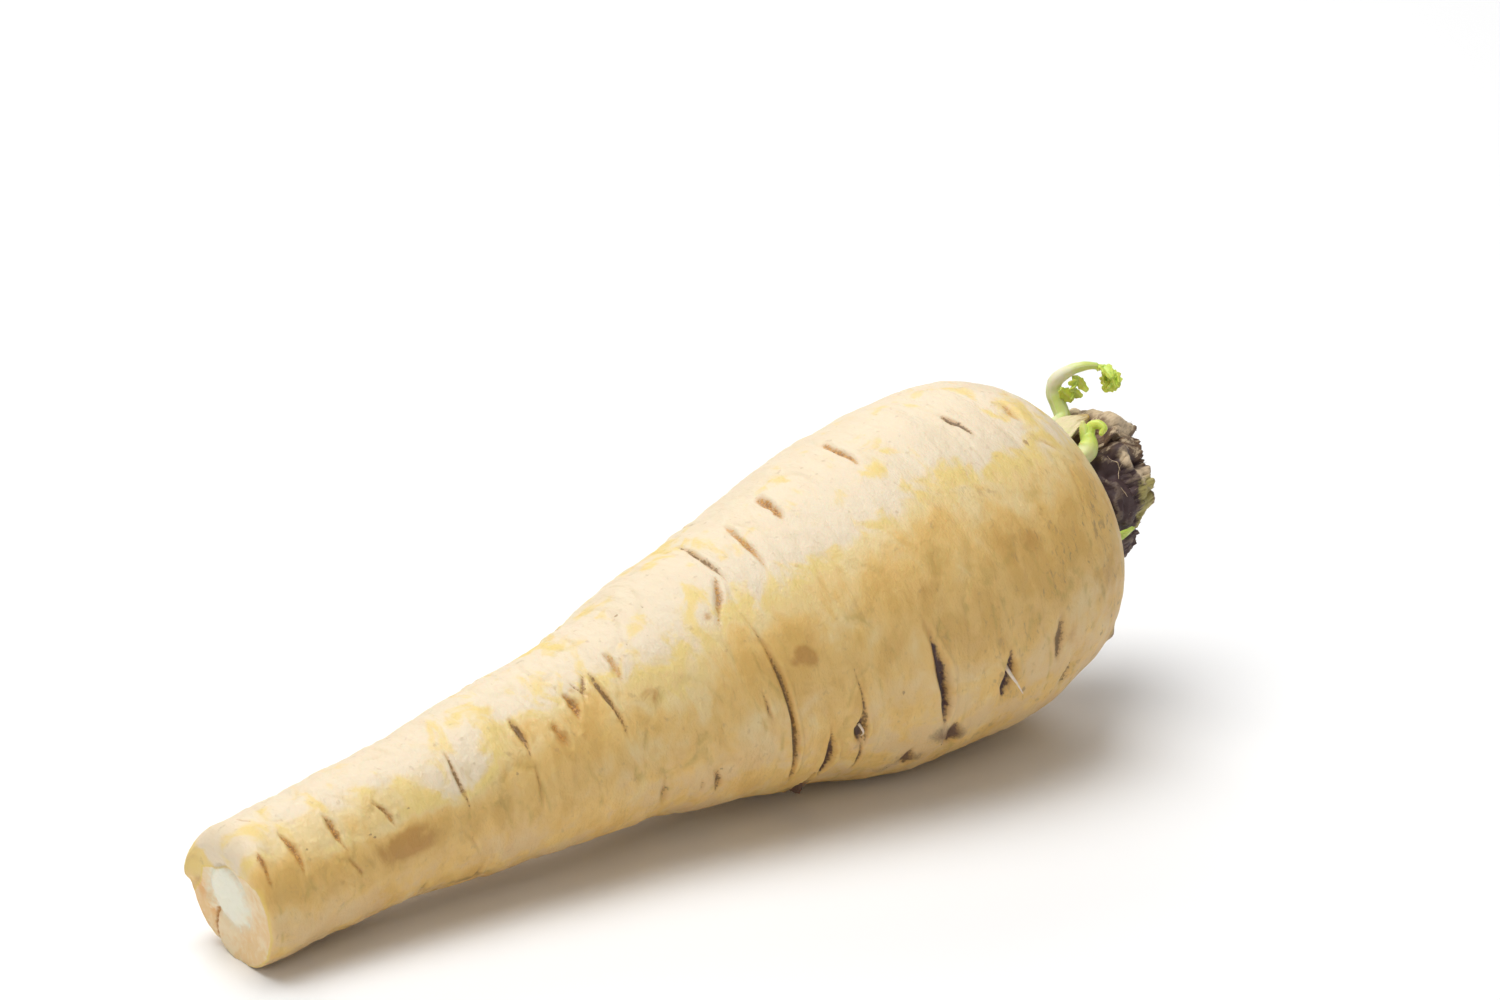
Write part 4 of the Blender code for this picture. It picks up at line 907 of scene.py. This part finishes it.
class Finish(Tree):
    """A material round one Principled shader."""

    def __init__(self, name, **fixed):
        self.material = bpy.data.materials.new(name)
        self.material.use_nodes = True
        super().__init__(self.material.node_tree)
        self.shader = self.tree.nodes["Principled BSDF"]
        for socket, value in fixed.items():
            self.feed(self.shader.inputs[socket.replace("_", " ")], value)

    def mark(self, name):
        """A number that the piece's mesh keeps for each point."""
        return self.node("ShaderNodeAttribute", {"attribute_name": name}, output="Fac")

    def grain(self, along, across, detail=3.0, roughness=0.5, distortion=0.0):
        """Noise whose features have these sizes in millimetres along the root and across it."""
        place = self.node("ShaderNodeTexCoord", output="Object")
        place = self.node("ShaderNodeMapping", {"vector_type": "TEXTURE"}, {
            "Vector": place, "Location": tuple(TIP_CENTRE * MM), "Rotation": (0.0, -LEAN, 0.0),
            "Scale": (along * MM, across * MM, across * MM)})
        return self.node("ShaderNodeTexNoise", {"noise_dimensions": "3D"}, {
            "Vector": place, "Scale": 1.0, "Detail": detail, "Roughness": roughness, "Distortion": distortion})

    def layered(self, ground, *layers):
        """A ground colour and the colours laid over it, each with how much of it shows, from 0 to 1."""
        settings = {"data_type": "RGBA", "clamp_factor": True}
        for colour, amount in layers:
            ground = self.node("ShaderNodeMix", settings, {0: amount, 6: ground, 7: colour}, output=2)
        return ground

    def bump(self, height, distance, strength=1.0):
        """Fine relief, at a distance in millimetres for a height of 1."""
        return self.node("ShaderNodeBump", None, {
            "Height": height, "Distance": distance * MM, "Strength": strength})

    def done(self, colour, roughness=None, normal=None):
        for socket, value in (("Base Color", colour), ("Roughness", roughness), ("Normal", normal)):
            if value is not None:
                self.feed(self.shader.inputs[socket], value)
        return self.material


class Growth(Tree):
    """Geometry nodes that grow small shapes on a surface."""

    def __init__(self, name):
        super().__init__(bpy.data.node_groups.new(name, "GeometryNodeTree"))
        self.interface = self.tree.interface
        self.interface.new_socket("Geometry", in_out="INPUT", socket_type="NodeSocketGeometry")
        self.interface.new_socket("Geometry", in_out="OUTPUT", socket_type="NodeSocketGeometry")
        self.entry = self.tree.nodes.new("NodeGroupInput")
        self.surface = Field(self, self.entry.outputs[0])
        self.sizes = {}

    def size(self, name, value):
        """A named input of the tree, and its value."""
        socket = self.interface.new_socket(name, in_out="INPUT", socket_type="NodeSocketFloat")
        self.sizes[socket.identifier] = value
        return Field(self, self.entry.outputs[name])

    def mark(self, name):
        """A number that the mesh keeps for each point."""
        return self.node("GeometryNodeInputNamedAttribute", {"data_type": "FLOAT"}, {"Name": name})

    def random(self, low, high, seed):
        values = {2: low, 3: high, 8: seed}
        return self.node("FunctionNodeRandomValue", {"data_type": "FLOAT"}, values, output=1)

    def vector(self, **parts):
        return self.node("ShaderNodeCombineXYZ", None, parts)

    def random_vector(self, low, high, seeds):
        return self.vector(**{axis: self.random(low, high, seed) for axis, seed in zip("XYZ", seeds)})

    def scattered(self, density, seed):
        """Points on the surface, at a density for each square millimetre."""
        return self.node("GeometryNodeDistributePointsOnFaces", {"distribute_method": "RANDOM"},
                         {"Mesh": self.surface, "Density": density * (1 / MM**2), "Seed": seed})

    def grown(self, mesh, points, shape, rotation, scale, finish):
        """The shape at every point of the mesh's surface, as a plain mesh without the surface."""
        shapes = self.node("GeometryNodeInstanceOnPoints", None, {
            "Points": points, "Instance": shape, "Rotation": rotation, "Scale": scale})
        shapes = self.node("GeometryNodeRealizeInstances", None, {"Geometry": shapes})
        shapes = self.node("GeometryNodeSetMaterial", None, {"Geometry": shapes, "Material": finish})
        self.feed(self.tree.nodes.new("NodeGroupOutput").inputs[0], shapes)
        carrier = bpy.data.objects.new(self.tree.name, mesh.copy())
        bpy.context.scene.collection.objects.link(carrier)
        modifier = carrier.modifiers.new(self.tree.name, "NODES")
        modifier.node_group = self.tree
        for identifier, value in self.sizes.items():
            modifier[identifier] = value
        found = carrier.evaluated_get(bpy.context.evaluated_depsgraph_get())
        plain = bpy.data.meshes.new_from_object(found)
        carrier.modifiers.remove(modifier)
        bpy.data.objects.remove(carrier)
        return plain


CRUMB_DENSITY, CRUMB_RADIUS, CRUMB_STRETCH, CRUMB_SEED = 0.45, 0.13, (0.35, 1.3), 7
FIBRE_DENSITY, FIBRE_LENGTH, FIBRE_RADIUS, FIBRE_SEED = 0.06, 1.1, 0.05, 3
FIBRE_TURN, FIBRE_ARCH, FIBRE_SCALE = 0.4, 0.02, (0.4, 1.0)
FULL_TURN = 6.28


def crumb_mesh(surface, finish):
    """Dry crumbs of cork and soil, caught in the darkest furrows and on the dirty patches."""
    growth = Growth("furrow_crumbs")
    density = growth.size("Crumbs per square millimetre", CRUMB_DENSITY)
    radius = growth.size("Crumb radius in millimetres", CRUMB_RADIUS)
    amount = growth.mark("furrow").rise(0.45, 0.85) + growth.mark("dirt").rise(0.4, 1.0) * 0.4
    points = growth.scattered(amount * density, CRUMB_SEED)
    crumb = growth.node("GeometryNodeMeshIcoSphere", None, {"Radius": radius * MM, "Subdivisions": 1})
    turn = growth.random_vector(0.0, FULL_TURN, (1, 2, 3))
    return growth.grown(surface, points, crumb, turn, growth.random_vector(*CRUMB_STRETCH, (4, 5, 6)), finish)


def fibre_mesh(surface, finish):
    """Thin pale fibres that lie along the withered leaf bases."""
    growth = Growth("leaf_base_fibres")
    density = growth.size("Fibres per square millimetre", FIBRE_DENSITY)
    length = growth.size("Fibre length in millimetres", FIBRE_LENGTH)
    radius = growth.size("Fibre radius in millimetres", FIBRE_RADIUS)
    points = growth.scattered(growth.mark("height").rise(0.2, 0.5) * density, FIBRE_SEED)
    line = growth.node("GeometryNodeCurveQuadraticBezier", None, {
        "Resolution": 6, "Start": (0.0, 0.0, 0.0),
        "Middle": growth.vector(X=length * (0.5 * MM), Z=length * (FIBRE_ARCH * 2 * MM)),
        "End": growth.vector(X=length * MM, Z=length * (-FIBRE_ARCH * 0.5 * MM))})
    section = growth.node("GeometryNodeCurvePrimitiveCircle", None, {"Resolution": 4, "Radius": radius * MM})
    fibre = growth.node("GeometryNodeCurveToMesh", None, {
        "Curve": line, "Profile Curve": section, "Fill Caps": True})
    along = growth.node("FunctionNodeAlignRotationToVector", {"axis": "X", "pivot_axis": "Z"}, {
        "Rotation": points.other("Rotation"), "Vector": tuple(AXIS)})
    along = growth.node("FunctionNodeRotateRotation", {"rotation_space": "LOCAL"}, {
        "Rotation": along, "Rotate By": growth.vector(Z=growth.random(-FIBRE_TURN, FIBRE_TURN, 4))})
    return growth.grown(surface, points, fibre, along, growth.random(*FIBRE_SCALE, 5), finish)


# Colours of the finishes, linear.
CREAM = (0.815, 0.685, 0.49)
YELLOW = (0.84, 0.635, 0.27)
BRIGHT_YELLOW = (0.82, 0.61, 0.15)
GOLD = (0.80, 0.51, 0.155)
DEEP_GOLD = (0.64, 0.37, 0.085)
PINK_BEIGE = (0.72, 0.50, 0.26)
OLIVE_GOLD = (0.52, 0.36, 0.10)
OCHRE = (0.52, 0.27, 0.07)
SCUFF = (0.41, 0.26, 0.12)
ORANGE = (0.66, 0.33, 0.07)
RUST = (0.36, 0.14, 0.03)
DARK_BROWN = (0.17, 0.10, 0.04)
DARK_PURPLE = (0.072, 0.032, 0.030)
GRIME = (0.15, 0.085, 0.055)
CORE_WHITE = (0.90, 0.87, 0.70)
FACE_CREAM = (0.88, 0.70, 0.44)
FACE_TAN = (0.84, 0.58, 0.28)
FACE_ORANGE = (0.80, 0.43, 0.14)
FACE_BROWN = (0.50, 0.22, 0.05)
STUB_BROWN = (0.19, 0.11, 0.058)
# Dark purple of the rot, also used for painted shade.
STUB_PURPLE_AND_SHADE = (0.072, 0.038, 0.038)
# Tan of the leaf bases, also the colour of their painted highlights.
STUB_TAN_AND_HIGHLIGHT = (0.80, 0.62, 0.40)
OLIVE = (0.50, 0.43, 0.13)
FIBRE_PALE = (0.62, 0.54, 0.42)
STALK_GREEN = (0.64, 0.74, 0.20)
PALE_GREEN = (0.78, 0.80, 0.36)
MILKY = (0.88, 0.85, 0.66)
LIME = (0.68, 0.80, 0.12)
DEEP_LEAF = (0.38, 0.58, 0.03)
SHEATH_CREAM = (0.80, 0.68, 0.42)
SHEATH_TIP = (0.54, 0.35, 0.09)
CRUMB_BROWN = (0.22, 0.125, 0.05)
CRUMB_ORANGE = (0.50, 0.25, 0.07)
ROOTLET_WHITE = (0.85, 0.72, 0.66)


def skin_finish():
    """Cream skin with golden flames, fine scuffs, dots and dark furrows, and the paler cut face; its flanks are
    painted darker and warmer than its top, partly its own colour and partly painted shade.
    """
    finish = Finish("parsnip_skin", Subsurface_Weight=0.12, Subsurface_Scale=0.004)
    patches = finish.grain(15, 9, 4)
    flames = finish.grain(5.0, 8, 4, 0.52, 0.7)
    mottle = finish.grain(2.6, 3.6, 3, 0.5, 0.5)
    streaks = finish.grain(0.9, 4.2, 2)
    specks = finish.grain(1.4, 1.8, 3)
    crust = finish.grain(0.38, 0.55, 2)
    scrapes = finish.grain(1.2, 3.0, 4, 0.62, 1.2)
    fibres = finish.grain(1.6, 1.6, 4)
    warm_shaded_flank, gold, low, shoulder, line, brown, dots = map(
        finish.mark, ("warm_shaded_flank", "gold", "low", "shoulder", "line", "brown", "dots"))
    furrow, hue, dirt, hollow, share, crack, cut = map(
        finish.mark, ("furrow", "purple", "dirt", "hollow", "share", "crack", "cut"))

    uneven = (patches - 0.5) * 1.1 + (flames - 0.5) * 1.5 + (mottle - 0.5) * 0.3
    # The flanks' warmth: partly the skin's own golden colour, partly painted shade, darker away from the top.
    warmth_and_shade = warm_shaded_flank * 0.95 + gold * 0.6 + uneven
    rosy = (low + 0.1) * (patches + (mottle - 0.5) * 0.5).rise(0.6, 0.4)
    scuffs = scrapes.rise(0.53, 0.66) * (patches + (mottle - 0.5) * 0.6).rise(0.45, 0.62)
    scuffs = scuffs * (warm_shaded_flank * (0.15 + shoulder * 0.85) + 0.06)
    lines = line * mottle.rise(0.42, 0.6) * (0.15 + warm_shaded_flank * 0.4)
    stain = finish.layered(
        RUST,
        (DARK_BROWN, hue.rise(-0.9, 0.1)),
        (ORANGE, hue.rise(0.2, -0.5) * crust.rise(0.46, 0.58) * 0.85),
        (DARK_PURPLE, hue.rise(0.3, 1.0)),
    )
    broken = furrow * 1.15 + (crust - 0.5) * (1.2 - hue * 0.6) + (specks - 0.5) * 1.1
    grime = dirt * (0.6 + specks * 0.6) + (crust - 0.5) * 0.5
    inside = hollow * (mottle * 1.4 + 0.3)

    beyond_core = (share + (fibres - 0.5) * 0.6).rise(CORE_SHARE - 0.12, CORE_SHARE + 0.14)
    face = finish.layered(
        FACE_TAN,
        (FACE_CREAM, (fibres + (patches - 0.5)).rise(0.35, 0.7)),
        (FACE_ORANGE, (brown * (fibres + 0.3)).rise(0.2, 0.8) * 0.8),
    )
    face = finish.layered(CORE_WHITE, (face, beyond_core), (FACE_BROWN, crack.rise(0.3, 0.9)))
    cut = cut + (fibres - 0.5) * 0.35

    colour = finish.layered(
        CREAM,
        (YELLOW, warmth_and_shade.rise(0.0, 0.45) * 0.8),
        (GOLD, warmth_and_shade.rise(0.45, 1.05) * 0.85),
        (BRIGHT_YELLOW, warmth_and_shade.hill(0.42, 0.3) * flames.rise(0.42, 0.58) * 0.55),
        (DEEP_GOLD, (warmth_and_shade + (flames - 0.5) * 0.8).rise(0.95, 1.5) * 0.5),
        (PINK_BEIGE, rosy.clamped() * 0.7),
        (SCUFF, scuffs.clamped() * 0.65),
        (OLIVE_GOLD, lines.clamped()),
        (OCHRE, (brown * (flames + mottle * 2.4 - 0.8)).rise(0.2, 1.1) * 0.8),
        (SCUFF, specks.rise(0.62, 0.78) * 0.35),
        (SCUFF, (dots * (crust + 0.5)).rise(0.4, 0.7) * 0.8),
        (OCHRE, furrow.rise(0.08, 0.7) * 0.6),
        (stain, broken.rise(0.45, 0.9) * (hue * 0.1 + 0.9)),
        (GRIME, grime.rise(0.3, 1.1) * 0.75),
        (OCHRE, inside.rise(0.0, 0.15) * (crust + 0.1)),
        (DARK_BROWN, inside.rise(0.1, 0.6) * 0.85),
        (face, cut.rise(0.4, 0.7)),
        (BRIGHT_YELLOW, cut.hill(0.45, 0.35) * 0.6),
    )
    height = streaks * 0.3 + crust * 0.25 + specks * 0.35 + mottle * 0.6
    return finish.done(colour, 0.42 + patches * 0.2, finish.bump(height, 0.45, 0.75))


def stub_finish():
    """Withered leaf bases: brown above and dark purple below, the purple partly the rot's own colour and partly
    painted shade; painted highlights in tan on the fold ridges and on the parts that face the light, some of
    the tan their own; painted shade in dark purple in the fold valleys; and olive where still alive.
    """
    finish = Finish("withered_leaf_base")
    fold, height, purple, tan, olive = map(finish.mark, ("fold", "height", "purple", "tan", "olive"))
    grime = finish.grain(1.6, 1.6, 5, 0.65)
    fibres = finish.grain(5, 0.5, 4, 0.6)
    # Dark purple, partly the rot's own colour and partly painted shade on the near, lower side.
    dark = purple * 0.9 + (finish.grain(6, 6, 2) - 0.5) + (grime - 0.5) * 0.6
    # Painted highlight: tan on the fold ridges, where the light catches them.
    light = fold.rise(0.3, 0.9) * (fibres + (grime - 0.5) * 0.6)
    colour = finish.layered(
        STUB_BROWN,
        (STUB_PURPLE_AND_SHADE, dark.rise(0.1, 0.7)),
        (STUB_TAN_AND_HIGHLIGHT, light.rise(0.32, 0.56) * (1 - dark.rise(0.1, 0.9) * 0.85) * 0.8),
        # Painted shade: dark purple in the fold valleys.
        (STUB_PURPLE_AND_SHADE, (1 - fold + (grime - 0.5) * 0.5).rise(0.45, 0.95) * 0.8),
        # Tan patches, partly the leaf bases' own tan and partly painted highlights.
        (STUB_TAN_AND_HIGHLIGHT, (tan * (grime + fibres + fold * 0.4 - 0.3)).rise(0.3, 1.0) * 0.85),
        (OLIVE, (olive * (fibres * 1.6 + (grime - 0.5) * 0.8)).rise(0.4, 1.0) * 0.8),
    )
    relief = fibres * 0.5 + grime * 0.5
    return finish.done(colour, 0.5 + height * 0.2, finish.bump(relief, 0.5, 0.8))


def green_finish(name, pale, full, deep):
    """Young green growth, from its pale foot to its full colour, with paler veins and darker flecks."""
    finish = Finish(name, Subsurface_Weight=0.2, Subsurface_Scale=0.002)
    green, vein = finish.mark("green"), finish.mark("vein")
    mottle = finish.grain(1.3, 1.3, 3)
    flecks = finish.grain(0.5, 0.5, 2)
    colour = finish.layered(
        pale,
        (full, (green + (mottle - 0.5) * 0.6).rise(0.1, 0.9)),
        (deep, (green * flecks.rise(0.58, 0.74)) * 0.4),
        (pale, vein.rise(0.5, 1.0) * 0.35),
    )
    return finish.done(colour, 0.36 + mottle * 0.15, finish.bump(mottle + flecks * 0.3, 0.15, 0.5))


def sheath_finish():
    """Dry sheath: pale cream, brown towards its tip, with lengthwise fibres."""
    finish = Finish("dry_sheath")
    fibres = finish.grain(4, 0.35, 4)
    height = finish.mark("green") + (fibres - 0.5) * 0.8
    colour = finish.layered(
        STALK_GREEN, (SHEATH_CREAM, height.rise(0.1, 0.75)), (SHEATH_TIP, height.rise(0.7, 1.05)))
    return finish.done(colour, 0.5 + fibres * 0.2, finish.bump(fibres, 0.3, 0.7))


def crumb_finish():
    """Dry crumbs: orange-brown in the orange furrows, darker in the dark ones, with a few pale bits."""
    finish = Finish("dry_crumbs")
    mottle, hue = finish.grain(0.7, 0.7, 2), finish.mark("purple")
    colour = finish.layered(
        CRUMB_ORANGE,
        (CRUMB_BROWN, hue.rise(-0.9, 0.1)),
        (DARK_PURPLE, hue.rise(0.3, 1.0) * 0.7),
        (CRUMB_ORANGE, mottle.rise(0.5, 0.62) * 0.6),
        (CREAM, mottle.rise(0.64, 0.7) * 0.7),
    )
    return finish.done(colour, 0.75 + mottle * 0.1)


def plain_finish(name, one, two, size, roughness):
    """Two close colours in mottles of a size in millimetres."""
    finish = Finish(name)
    mottle = finish.grain(size, size, 2)
    return finish.done(finish.layered(one, (two, mottle.rise(0.35, 0.65))), roughness + mottle * 0.1)


# Camera and light. The camera stands at the photograph's angle, far away, with a long lens.
CAMERA_AT = (-502.28, -652.89, 387.55)
CAMERA_LOOKS_AT = (13.78, 4.14, 52.89)
CAMERA_LENS, CAMERA_SENSOR, CAMERA_CLIP = 124.85, 36.0, (0.01, 50.0)
# Lights: name, place, the place they shine at, their two sizes and their power in watts.
LIGHTS = [
    ("top_light", (-150, 190, 1150), (20, 0, 20), 900, 900, 13.0),
    ("side_light", (-900, -500, 500), (0, 0, 30), 600, 600, 1.2),
    ("floor_light", (900, 1500, 1000), (900, 1500, 0), 1300, 1300, 14.0),
]
FLOOR_SIZE, FLOOR_HEIGHT = 4000.0, -0.05
FLOOR_COLOUR, FLOOR_ROUGHNESS = (0.95, 0.95, 0.95), 0.8
SURROUND = 0.24


def aimed(data, name, place, target):
    thing = bpy.data.objects.new(name, data)
    thing.location = Vector(place) * MM
    way = (Vector(target) - Vector(place)).normalized()
    thing.rotation_euler = way.to_track_quat("-Z", "Y").to_euler()
    bpy.context.scene.collection.objects.link(thing)
    return thing


def make_setting():
    camera = bpy.data.cameras.new("portrait_camera")
    camera.lens, camera.sensor_width = CAMERA_LENS, CAMERA_SENSOR
    camera.clip_start, camera.clip_end = CAMERA_CLIP
    bpy.context.scene.camera = aimed(camera, "portrait_camera", CAMERA_AT, CAMERA_LOOKS_AT)
    for name, place, target, wide, deep, power in LIGHTS:
        light = bpy.data.lights.new(name, "AREA")
        light.shape = "RECTANGLE"
        light.size, light.size_y = wide * MM, deep * MM
        light.energy = power
        aimed(light, name, place, target)
    half = FLOOR_SIZE / 2 * MM
    mesh = bpy.data.meshes.new("floor")
    corners = [(-half, -half, 0), (half, -half, 0), (half, half, 0), (-half, half, 0)]
    mesh.from_pydata(corners, [], [(0, 1, 2, 3)])
    finish = Finish("plain_floor", Base_Color=FLOOR_COLOUR, Roughness=FLOOR_ROUGHNESS)
    mesh.materials.append(finish.material)
    floor = bpy.data.objects.new("floor", mesh)
    floor.location.z = FLOOR_HEIGHT * MM
    bpy.context.scene.collection.objects.link(floor)
    world = bpy.data.worlds.new("surround")
    world.use_nodes = True
    background = world.node_tree.nodes["Background"].inputs
    background["Color"].default_value = (1.0, 1.0, 1.0, 1.0)
    background["Strength"].default_value = SURROUND
    bpy.context.scene.world = world
    bpy.context.scene.view_settings.view_transform = "Standard"


def main():
    stalk_green = green_finish("shoot_stalk", MILKY, STALK_GREEN, LIME)
    leaf_green = green_finish("young_leaf", PALE_GREEN, LIME, DEEP_LEAF)
    dry_crumbs = crumb_finish()
    pale_fibre = plain_finish("pale_fibre", FIBRE_PALE, STUB_BROWN, 2.5, 0.5)
    skin = taproot_body().mesh("taproot_skin")
    crumbs = crumb_mesh(skin, dry_crumbs)
    placed("taproot_skin", skin, skin_finish(), "parsnip_skin", "taproot")
    placed("furrow_crumbs", crumbs, dry_crumbs, "withered_leaf_base")
    stub = crown_stub_body().mesh("crown_stub_skin")
    fibres = fibre_mesh(stub, pale_fibre)
    placed("crown_stub_skin", stub, stub_finish(), "withered_leaf_base", "crown_stub")
    placed("leaf_base_fibres", fibres, pale_fibre, "withered_leaf_base")

    stalk, fork = Body(), Body()
    add_stalk(stalk, HOOKED_STALK, HOOKED_GREENS)
    add_stalk(fork, FORKED_STEM, FORKED_STEM_GREENS)
    add_stalk(fork, FORK_LEFT, FORK_LEFT_GREENS)
    add_stalk(fork, FORK_RIGHT, FORK_RIGHT_GREENS)
    for node, body, finish, slot in (
        ("hooked_stalk", stalk, stalk_green, "shoot_stalk"),
        ("hooked_leaf", leaf_body(LEAF_RIB, LEAFLETS), leaf_green, "young_leaf"),
        ("side_leaflet", leaf_body(LEAFLET_STALK, HANGING_BLADES), leaf_green, "young_leaf"),
        ("forked_shoot", fork, leaf_green, "young_leaf"),
        ("bud_sheath", small_scale_body(SHEATH, SHEATH_POINT), sheath_finish(), "dry_sheath"),
        ("green_bud", small_scale_body(BUD, BUD_POINT), leaf_green, "young_leaf"),
    ):
        placed(node + "_skin", body.mesh(node + "_skin"), finish, slot, node)
    rootlets = rootlet_body().mesh("rootlets")
    placed("rootlets", rootlets, plain_finish("pale_rootlet", ROOTLET_WHITE, CREAM, 0.8, 0.35), "parsnip_skin")
    make_setting()


main()
